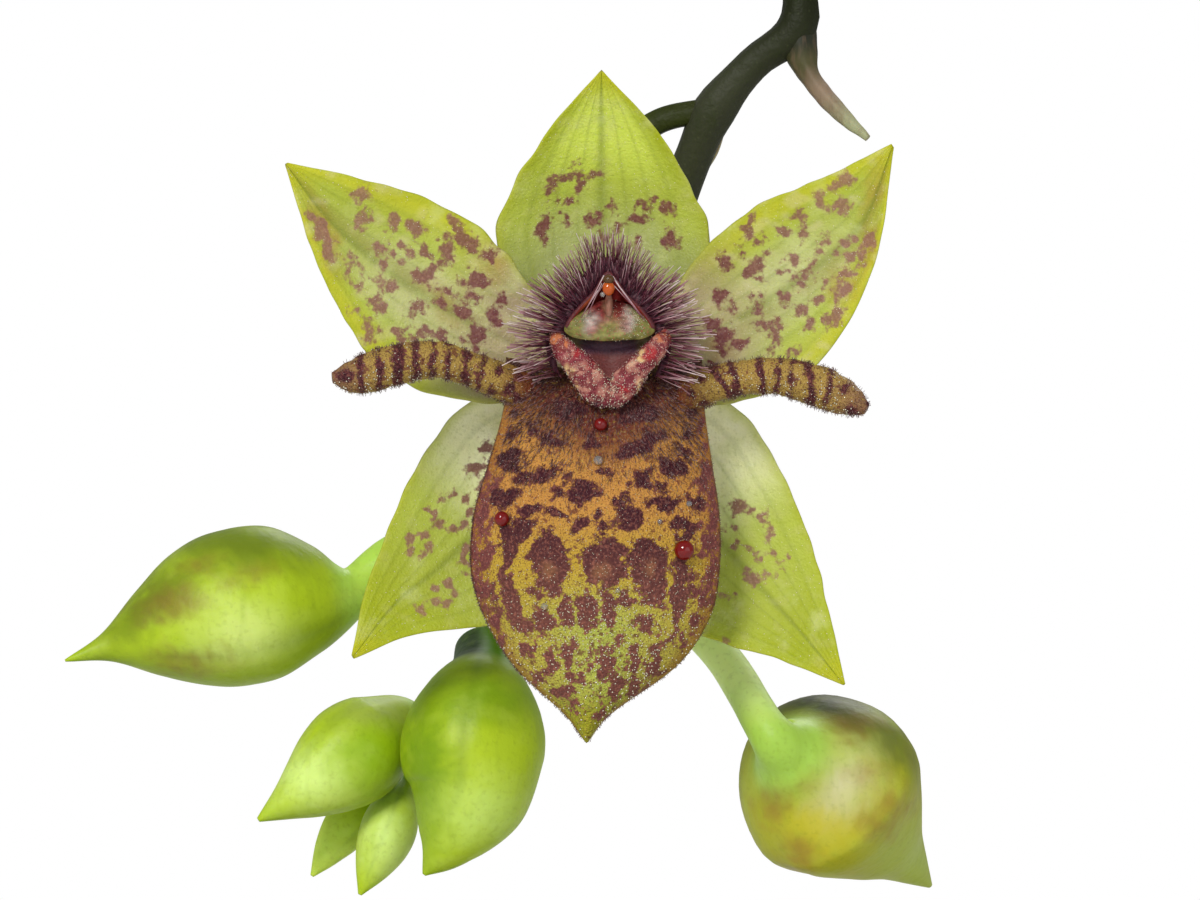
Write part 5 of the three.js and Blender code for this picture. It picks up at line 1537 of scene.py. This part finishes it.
def bud(name, line, radii, patches, turn, spots=()):
    """A stalk that swells to a closed bud with three seams between its sepals."""
    count, sides = 150, 48
    path = at(spline(line, count, even=True))
    widths = profile(radii, count)
    way = np.linspace(0, 1, count)
    neck = 1.6 if name == "big_bud" else 1.1
    swollen = smooth(neck, neck + 0.9, widths * 3 / max(radii))[:, None]
    past_widest = (way > way[np.argmax(widths)])[:, None]
    angle = circle(sides)[None]
    seams = sum(hood(angle, turn + k * 2 * math.pi / 3, 0.1) for k in range(3))
    corners = np.cos(3 * (angle - turn))
    rings = tube(path, widths, sides)
    out = rings - path[:, None]
    rings = path[:, None] + out * (1 - swollen * (0.035 * seams - 0.03 * corners))[..., None]
    rings = rings + out * (0.012 * ripple(rings, 1.6, 5))[..., None]
    x, y = shown(rings)
    on_bud = field(rings, np.maximum(swollen, past_widest))
    # painted shade: the side of a bud that faces down is darkened
    below = field(rings, unit(out)[..., 2])
    tint = blend(stalk_tint(name, x, y), BUD_LIGHT, on_bud)
    tint = blend(tint, BUD_DEEP, 0.55 * on_bud * smooth(0.2, -0.9, below))
    tint = blend(tint, BUD_DEEP, 0.2 * on_bud * smooth(0.86, 1, along(rings)))
    tint = blend(tint, (0.2, 0.3, 0.02), 0.5 * field(rings, np.clip(seams, 0, 1) * swollen))
    if name == "right_bud":
        tint = blend(tint, (0.4, 0.36, 0.02), 0.6 * on_bud)
        stalk_end = smooth(1, 0.3, np.hypot((x - 792) / 42, (y - 752) / 34))
        tint = blend(tint, (0.3, 0.46, 0.04), on_bud * stalk_end)
    # each patch tints a soft area; the palest ones are painted highlights
    for colour, places in patches:
        near = field(rings, inside(rings, places, fade=45, fray=8))
        tint = blend(tint, colour, on_bud * smooth(-0.9, 0.9, near))
    stain = (0.26, 0.12, 0.025) if name == "right_bud" else (0.2, 0.1, 0.02)
    piece(name, name, "bud", BUD, loft(rings), tint=tint, mark=stain,
          blotch=field(rings, inside(rings, spots, fade=30, fray=8)))


for name, values in BUDS.items():
    bud(name, **values)


# Leaves and pseudobulbs

RHIZOME = {"radius": 2.1, "height": 65.4, "wave": 0.3}
LEAF = {"length": 40, "half_width": 5.2, "thickness": 1.3}
GROWTHS = [
    {"x": -22, "y": -2.2, "yaw": 106, "size": 0.72, "leaves": 5, "top_lean": 14},
    {"x": -9.8, "y": 3, "yaw": 93, "size": 0.95, "leaves": 6, "top_lean": 3},
    {"x": 2.8, "y": 0.5, "yaw": 86, "size": 1, "leaves": 6, "top_lean": -4},
    {"x": 18.6, "y": -0.6, "yaw": 80, "size": 1, "leaves": 6, "top_lean": 8},
]
NEW_SHOOT = {"x": 28.4, "y": 3.2, "yaw": 66, "size": 0.5, "leaves": 4}
STUB = {"rise": 1.7, "foot": 2.3, "top": 1.9, "sink": 1.3}
LEAF_FRESH = (0.2, 0.31, 0.05)
LEAF_OLD = (0.13, 0.2, 0.045)
LEAF_RED = (0.24, 0.09, 0.05)


def leaf(side, root, height, length, half_width, lean, bend, seed):
    """Rings of one fleshy leaf folded along its midrib, with its share to the tip and its way across."""
    rows, half = 44, 11
    s = np.linspace(0, 1, rows)
    widths = profile((0.5, 0.68, 0.94, 1, 0.86, 0.52, 0.06), rows) * half_width
    folds = np.radians(spline((58, 42, 30, 24, 24, 30, 38), rows)[:, 0])
    angle = np.radians(lean + bend * s)
    step = length / (rows - 1)
    run = np.column_stack([side * np.sin(angle), 0 * s, np.cos(angle)])
    centre = np.array([side * root, 0, height]) + np.vstack([[0, 0, 0], np.cumsum(run[:-1], axis=0)]) * step
    up = np.column_stack([-side * np.cos(angle), 0 * s, np.sin(angle)])
    across = np.linspace(-1, 1, 2 * half + 1)
    t = np.r_[across, across[-2:0:-1]]
    face = np.r_[np.ones(2 * half + 1), -np.ones(2 * half - 1)]
    fold = np.sqrt(t**2 + 0.012) - 0.1
    thick = LEAF["thickness"] * (1 - 0.35 * s)[:, None] * np.sqrt(np.maximum(1 - np.abs(t) ** 3, 0))[None]
    lift = widths[:, None] * fold[None] * np.sin(folds)[:, None] + 0.5 * thick * face[None]
    sideways = widths[:, None] * t[None] * np.cos(folds)[:, None]
    points = centre[:, None] + sideways[..., None] * (0, 1, 0) + lift[..., None] * up[:, None]
    points = points + (0.12 * ripple(points + 31 * seed, 7, seed) * s[:, None])[..., None] * up[:, None]
    return points, s[:, None] + 0 * t[None], t[None] + 0 * s[:, None]


def stand(points, growth):
    """Points of a growth, turned and set on the rhizome."""
    turn = math.radians(growth["yaw"])
    x, y = points[..., 0], points[..., 1]
    foot = RHIZOME["height"] + RHIZOME["wave"] + RHIZOME["radius"] + 0.3
    return np.stack([
        growth["x"] + x * math.cos(turn) - y * math.sin(turn),
        growth["y"] + x * math.sin(turn) + y * math.cos(turn),
        foot + points[..., 2],
    ], axis=-1)


def stub_height(growth):
    return STUB["rise"] * growth["leaves"] * math.sqrt(growth["size"])


def leaf_tint(rings, s, t, age):
    """A leaf's green by its age, pale along its rib and reddish at its margins and tip."""
    s, t = field(rings, s), np.abs(field(rings, t))
    tint = blend(LEAF_FRESH, LEAF_OLD, np.full(len(s), age))
    tint = blend(tint, (0.34, 0.42, 0.13), 0.5 * smooth(0.2, 0, s))
    tint = blend(tint, (0.3, 0.4, 0.1), 0.4 * np.exp(-((t / 0.06) ** 2)))
    tint = blend(tint, LEAF_RED, 0.55 * smooth(0.88, 1, t) + 0.35 * smooth(0.9, 1, s))
    return tint


def leaf_fan(name, growth):
    """The overlapping leaves of a growth on their common foot."""
    tall, size = stub_height(growth), growth["size"]
    middle = spline([(0, 0, -STUB["sink"]), (0, 0, 0.3 * tall), (0, 0, 0.7 * tall), (0, 0, tall)], 40)
    girth = profile((STUB["foot"], 2.2, 2.05, STUB["top"]), 40)
    girth = girth * (1 + 0.05 * np.sin(np.linspace(0, 26, 40)))
    foot = stand(tube(middle, girth, 32), growth)
    skins = [loft(foot)]
    tints = [np.full((len(skins[0][0]), 3), (0.3, 0.3, 0.1))]
    for i in range(growth["leaves"]):
        rise = (i + 0.2) / growth["leaves"]
        rings, s, t = leaf(
            side=1 if i % 2 else -1, root=1.1 + rise * size, height=0.9 + rise * (tall - 2.2),
            length=LEAF["length"] * size * (0.5 + 0.5 * rise),
            half_width=LEAF["half_width"] * size * (0.82 + 0.18 * rise),
            lean=62 - 34 * rise, bend=22 - 10 * rise, seed=i + 1)
        rings = stand(rings, growth)
        skins.append(loft(rings))
        tints.append(leaf_tint(rings, s, t, 0.9 - 0.8 * rise))
    piece(name, name, "leaf", LEAF_SKIN, gather(skins), tint=np.vstack(tints))


def pseudobulb(name, growth):
    """The wrinkled bulb of a growth and the one leaf on its top."""
    size = growth["size"]
    narrow = math.sqrt(size)
    foot, tall = stub_height(growth) + 0.3, 11 * narrow
    line = [(0, 0, foot), (0, 0, foot + 0.3 * tall), (0, 0, foot + 0.7 * tall), (0, 0, foot + tall)]
    radii = profile((1.5, 2.3, 2.62, 2.66, 2.4, 1.9, 1.2), 60) * narrow
    bulb = tube(spline(line, 60), radii, 54,
                lambda turn: 1 + 0.03 * np.cos(9 * turn) + 0.02 * np.cos(5 * turn + 1))
    bulb[..., 0] *= 0.86
    bulb = stand(bulb, growth)
    tint = blend((0.3, 0.33, 0.12), (0.24, 0.33, 0.07), smooth(0.1, 0.8, along(bulb)))
    tint = blend(tint, (0.3, 0.2, 0.11), 0.7 * smooth(0.12, 0, along(bulb)))
    rings, s, t = leaf(side=1, root=0, height=foot + tall - 1.9, length=LEAF["length"] * size * 0.86,
                       half_width=LEAF["half_width"] * size * 0.9, lean=growth["top_lean"], bend=16, seed=9)
    rings = stand(rings, growth)
    piece(name, name, "bulb", LEAF_SKIN, gather([loft(bulb), loft(rings)]),
          tint=np.vstack([tint, leaf_tint(rings, s, t, 0.15)]))


for number, growth in enumerate(GROWTHS):
    leaf_fan(f"leaf_fan_{number + 1}", growth)
    pseudobulb(f"pseudobulb_{number + 1}", growth)
leaf_fan("new_shoot", NEW_SHOOT)


# Rhizome and roots

RHIZOME_LINE = [
    (x, y, RHIZOME["height"] + (RHIZOME["wave"] if i % 2 else 0))
    for i, (x, y) in enumerate([(-29, -7), (-21, -1.5), (-10, 3), (3, 0.5), (12, 1.5), (21, -1), (30, 4)])
]
RHIZOME_RADII = np.array((0.5, 0.9, 1, 0.92, 1, 0.92, 1, 0.85, 0.35)) * RHIZOME["radius"]
RIM_TOP = 74
ROOTS = [
    [(-27, -6, 65), (-30.2, -9.8, 69), (-33, -13.4, RIM_TOP - 0.4), (-36.6, -16.8, RIM_TOP),
     (-39.6, -18.6, RIM_TOP - 0.8), (-40.7, -18.6, 69.6), (-40.8, -18.6, 61), (-38.8, -20, 50),
     (-38.6, -17.8, 39), (-36.8, -18.4, 29)],
    [(-14, 2.4, 64.6), (-16, 9, 65.2), (-12, 17, 65), (-14, 25, 64.6), (-10, 31, 63), (-9, 32.5, 58)],
    [(8, 0, 64.4), (9.5, -8, 65.6), (15, -13, 65), (15, -20, 64.6), (19, -24, 63), (20, -24.6, 57)],
    [(25, 1, 64.6), (26, 8, 65.4), (20, 15, 65), (21, 20, 64.4), (17, 24.6, 62.6), (16, 26, 57)],
]
ROOT_RADII = (1, 1.1, 1.05, 1.1, 1, 1.05, 0.95, 0.6)


def rhizome_sheaths(line, radii):
    """Torn papery sheaths, one after another along the rhizome."""
    skins, tints = [], []
    count, sides = 24, 36
    angle = circle(sides)
    for number in range(14):
        first = 8 + 13 * number
        part = spline(line[first:first + 13:3], count)
        flare = profile((1.03, 1.07, 1.13, 1.19), count) * radii[first]
        sheath = tube(part, flare, sides, lambda turn: 1 + 0.025 * np.cos(15 * turn + number))
        torn = 0.7 * np.cos(3 * angle + 2 * number)[None] * np.linspace(0, 1, count)[:, None] ** 3
        sheath = sheath + torn[..., None] * unit(part[-1] - part[0])
        skins.append(loft(sheath))
        tints.append(blend((0.16, 0.1, 0.055), (0.42, 0.31, 0.2), smooth(0.3, 1, along(sheath))))
    piece("rhizome_sheaths", "rhizome", "rhizome", PAPERY, gather(skins), tint=np.vstack(tints))


def rhizome():
    """The creeping stem that joins the growths, ringed by scars."""
    count = 200
    line = spline(RHIZOME_LINE, count, even=True)
    radii = profile(RHIZOME_RADII, count)
    joints = np.abs(np.sin(np.linspace(0, 15 * math.pi, count)))
    rings = tube(line, radii * (0.94 + 0.08 * smooth(0, 0.35, joints)), 36,
                 lambda turn: 1 + 0.02 * np.cos(11 * turn))
    scar = field(rings, smooth(0.35, 0.05, joints)[:, None])
    tint = blend((0.2, 0.19, 0.07), (0.13, 0.075, 0.035), scar)
    piece("rhizome", "rhizome", "rhizome", LEAF_SKIN, loft(rings), tint=tint)
    rhizome_sheaths(line, radii)


def root(name, line):
    """A root, silvery with a green tip."""
    count = 34 * len(line)
    path = spline(line, count, even=True)
    radii = profile(ROOT_RADII, count) * (1 + 0.05 * np.sin(np.linspace(0, 9 * len(line), count)))
    rings = roughened(tube(path, radii, 22), path, 0.06, 1.3, 12)
    tint = blend((0.44, 0.43, 0.34), (0.5, 0.5, 0.4), smooth(0.2, 0.5, along(rings)))
    tint = blend(tint, (0.2, 0.33, 0.06), smooth(0.93, 0.99, along(rings)))
    piece(name, name, "root", ROOT, loft(rings), tint=tint)


rhizome()
for number, line in enumerate(ROOTS):
    root(f"root_{number + 1}", line)


# Pot and bark

POT_SIZES = {"height": 72, "foot": 29, "rim": 43, "rim_depth": 15, "wall": 4, "floor": 5, "ledge": 2.4}
DRAIN = {"count": 4, "radius": 3, "ring": 15}
BARK_TOP = 62
FOOT_RINGS = 9  # the pot's first rings, which stay even so that it stands flat


def body_radius(z):
    slope = (POT_SIZES["rim"] - POT_SIZES["ledge"] - POT_SIZES["foot"]) / POT_SIZES["height"]
    return POT_SIZES["foot"] + slope * z


def lathe(outline, sides):
    """Rings about the upright axis, one for each radius and height."""
    radius, height = np.array(outline, float).T[:, :, None]
    turn = circle(sides)
    return np.stack([radius * np.cos(turn), radius * np.sin(turn), height + 0 * turn], axis=-1)


def pot_outline():
    """The pot's section from under its floor, up outside, over the rim and down inside, in short steps."""
    size = POT_SIZES
    height, rim, wall = size["height"], size["rim"], size["wall"]
    band = height - size["rim_depth"]
    mouth = rim - wall - size["ledge"]
    bends = [
        (1, 0.6), (size["foot"] - 3.6, 0.5), (size["foot"] - 2.8, 0), (size["foot"] - 0.8, 0),
        (size["foot"], 0.9), (body_radius(band), band), (rim - 1.3, band + 0.1), (rim - 0.4, band + 0.9),
        (rim, height - 1.4), (rim - 0.4, height - 0.4), (rim - 1.4, height), (mouth + 1.4, height),
        (mouth + 0.4, height - 0.4), (mouth, height - 1.4), (body_radius(band) - wall, band),
        (body_radius(size["floor"]) - wall, size["floor"]), (1, size["floor"]),
    ]
    outline = []
    for (r0, z0), (r1, z1) in zip(bends, bends[1:]):
        steps = max(2, int(math.hypot(r1 - r0, z1 - z0) / 0.9))
        outline += [(r0 + (r1 - r0) * i / steps, z0 + (z1 - z0) * i / steps) for i in range(steps)]
    return outline + bends[-1:]


def drilled(shell):
    """The shell's mesh with the drain holes cut through its floor."""
    cutters = []
    for i in range(DRAIN["count"]):
        turn = 2 * math.pi * (i + 0.5) / DRAIN["count"]
        hole = lathe([(DRAIN["radius"], z) for z in (-2, 3, 9)], 40)
        hole = hole + (DRAIN["ring"] * math.cos(turn), DRAIN["ring"] * math.sin(turn), 0)
        cutters.append(linked("drain", skin_mesh("drain", loft(hole))))
        cutting = shell.modifiers.new("Drain", "BOOLEAN")
        cutting.operation, cutting.solver, cutting.object = "DIFFERENCE", "EXACT", cutters[-1]
    mesh = bpy.data.meshes.new_from_object(shell.evaluated_get(bpy.context.evaluated_depsgraph_get()))
    for spare in (shell, *cutters):
        bpy.data.objects.remove(spare)
    return mesh


def pot():
    """The clay pot, slightly uneven outside, with drain holes in its foot."""
    rings = lathe(pot_outline(), 128)
    turned_marks = np.sin(rings[..., 2] * 2.4 + 0.4 * np.sin(rings[..., 0] / 9))
    wobble = 0.09 * ripple(rings, 17, 3) + 0.05 * turned_marks
    wobble[:FOOT_RINGS] = 0
    rings = rings + wobble[..., None] * unit(rings * (1, 1, 0))
    mesh = drilled(linked("pot_shell", skin_mesh("pot_shell", loft(rings))))
    places = np.empty(3 * len(mesh.vertices))
    mesh.vertices.foreach_get("co", places)
    high = places.reshape(-1, 3)[:, 2] / MM
    top = POT_SIZES["height"]
    bloom = 0.25 + 0.6 * smooth(30, 6, high) + 0.35 * smooth(top - 3, top, high)
    store(mesh, "bloom", np.clip(bloom, 0, 1))
    store(mesh, "damp", 0.8 * smooth(16, 0, high))
    mesh.shade_smooth()
    mesh.set_sharp_from_angle(angle=math.radians(50))
    mesh.materials.clear()
    mesh.materials.append(CLAY)
    settle("pot", mesh, "pot")


def bark_mix():
    """The bed of bark with loose chips and tufts of moss on it."""
    inner = [body_radius(z) - POT_SIZES["wall"] - 0.35 for z in (5, 30, 55, 57)]
    outline = [(1, 5.4), (inner[0] - 1, 5.4), *zip(inner, (6.4, 30, 55, 60.4))]
    outline += [(inner[3] * (1 - i / 30), 60.6 + 1.2 * math.sin(i / 30 * 1.5)) for i in range(1, 30)]
    rings = lathe(outline, 120)
    rings[6:, :, 2] += 0.7 * ripple(rings[6:], 5, 13) + 0.35 * ripple(rings[6:], 1.8, 14)
    piece("bark_bed", "bark_mix", "bark", BED, loft(rings))
    random = np.random.default_rng(15)
    count = 430
    reach = np.sqrt(random.random(count)) * 31.5
    turn = random.uniform(0, 2 * math.pi, count)
    high = BARK_TOP + random.uniform(-0.6, 1.1, count)
    spots = np.column_stack([reach * np.cos(turn), reach * np.sin(turn), high])
    aims = np.column_stack([random.normal(0, 0.35, (count, 2)), np.ones(count)])
    scatter("bark_chips", "bark_mix", "bark", CHIP, spots, aims, random.uniform(0.5, 1.25, count),
            Slab=(6.4, 4.2, 1.9), Seed=16, Coat=BARK)
    clumps = random.uniform(-26, 26, (26, 2))
    tufts = clumps[random.integers(0, len(clumps), 2600)] + random.normal(0, 1.7, (2600, 2))
    tufts = tufts[np.hypot(*tufts.T) < 32]
    count = len(tufts)
    spots = np.column_stack([tufts, np.full(count, BARK_TOP + 1.5)])
    aims = np.column_stack([random.normal(0, 0.6, (count, 2)), np.ones(count)])
    scatter("moss_tufts", "bark_mix", "bark", BRISTLE, spots, aims, random.uniform(0.9, 2.2, count),
            Thickness=0.09, Bend=0.4, Steps=2, Seed=17, Coat=MOSS)


pot()
bark_mix()


# Stage: floor, light and camera

FLOOR = {"radius": 1.6, "height": -0.00005, "rings": 12, "sides": 96}  # in metres, just under the pot


def floor():
    """A pale disc, the ground of the picture."""
    sides, count = FLOOR["sides"], FLOOR["rings"]
    turn = circle(sides)
    points = [(0, 0, FLOOR["height"])]
    for i in range(1, count + 1):
        reach = 0.001 + FLOOR["radius"] * i / count
        points += [(reach * math.cos(a), reach * math.sin(a), FLOOR["height"]) for a in turn]
    faces = [(0, 1 + j, 1 + (j + 1) % sides) for j in range(sides)]
    for first in range(1, 1 + sides * (count - 1), sides):
        for j in range(sides):
            a, b = first + j, first + (j + 1) % sides
            faces.append((a, a + sides, b + sides, b))
    mesh = bpy.data.meshes.new("floor")
    mesh.from_pydata(points, [], faces)
    coat = Coat("pale_floor", roughness=0.7)
    cloud = coat.band(coat.noise(60, 2), 0.3, 0.7)
    mesh.materials.append(coat.shade(coat.mix((0.78, 0.78, 0.77), (0.83, 0.83, 0.82), cloud)))
    linked("floor", mesh)


def sun(name, way, strength, spread, colour=(1, 1, 1)):
    """A soft light that falls along a direction, from a source some degrees wide."""
    lamp = bpy.data.lights.new(name, "SUN")
    lamp.energy, lamp.angle, lamp.color = strength, math.radians(spread), colour
    linked(name, lamp).rotation_euler = Vector(way).to_track_quat("-Z", "Y").to_euler()


def studio():
    """A white backdrop that lights less than it shows, and three soft lights."""
    world = bpy.data.worlds.new("Studio")
    world.use_nodes = True
    world.node_tree.nodes.clear()
    sky = Nodes(world.node_tree)
    cast = sky.add("ShaderNodeBackground", Color=(0.97, 0.98, 1, 1), Strength=0.38)
    shows = sky.add("ShaderNodeBackground", Color=(1, 1, 1, 1), Strength=1.0)
    pick = sky.add("ShaderNodeMixShader", Fac=sky.add("ShaderNodeLightPath").outputs["Is Camera Ray"])
    sky.join(cast.outputs["Background"], pick.inputs[1])
    sky.join(shows.outputs["Background"], pick.inputs[2])
    sky.add("ShaderNodeOutputWorld", Surface=pick.outputs["Shader"])
    scene = bpy.context.scene
    scene.world = world
    scene.view_settings.view_transform = "Standard"
    scene.view_settings.look = "None"
    sun("key", (0.4, 1, -0.6), 2.3, 18, (1, 0.98, 0.95))
    sun("fill", (-0.7, 1, -0.1), 0.6, 50, (0.96, 0.98, 1))
    sun("rim", (-0.3, -1, -0.9), 0.8, 30)


def camera():
    """The photograph's view: level, from in front of the flower, 48 mm wide at the flower."""
    lens = bpy.data.cameras.new("photo_view")
    lens.lens, lens.sensor_width, lens.sensor_fit = 180, 36, "HORIZONTAL"
    lens.clip_start, lens.clip_end = 0.01, 20
    made = linked("photo_view", lens)
    aim = PICTURE["aim"]
    made.location = Vector((FLOWER[0] + aim[0], FLOWER[1] - PICTURE["eye"], FLOWER[2] + aim[1])) * MM
    made.rotation_euler = (math.radians(90), 0, 0)
    bpy.context.scene.camera = made


floor()
studio()
camera()
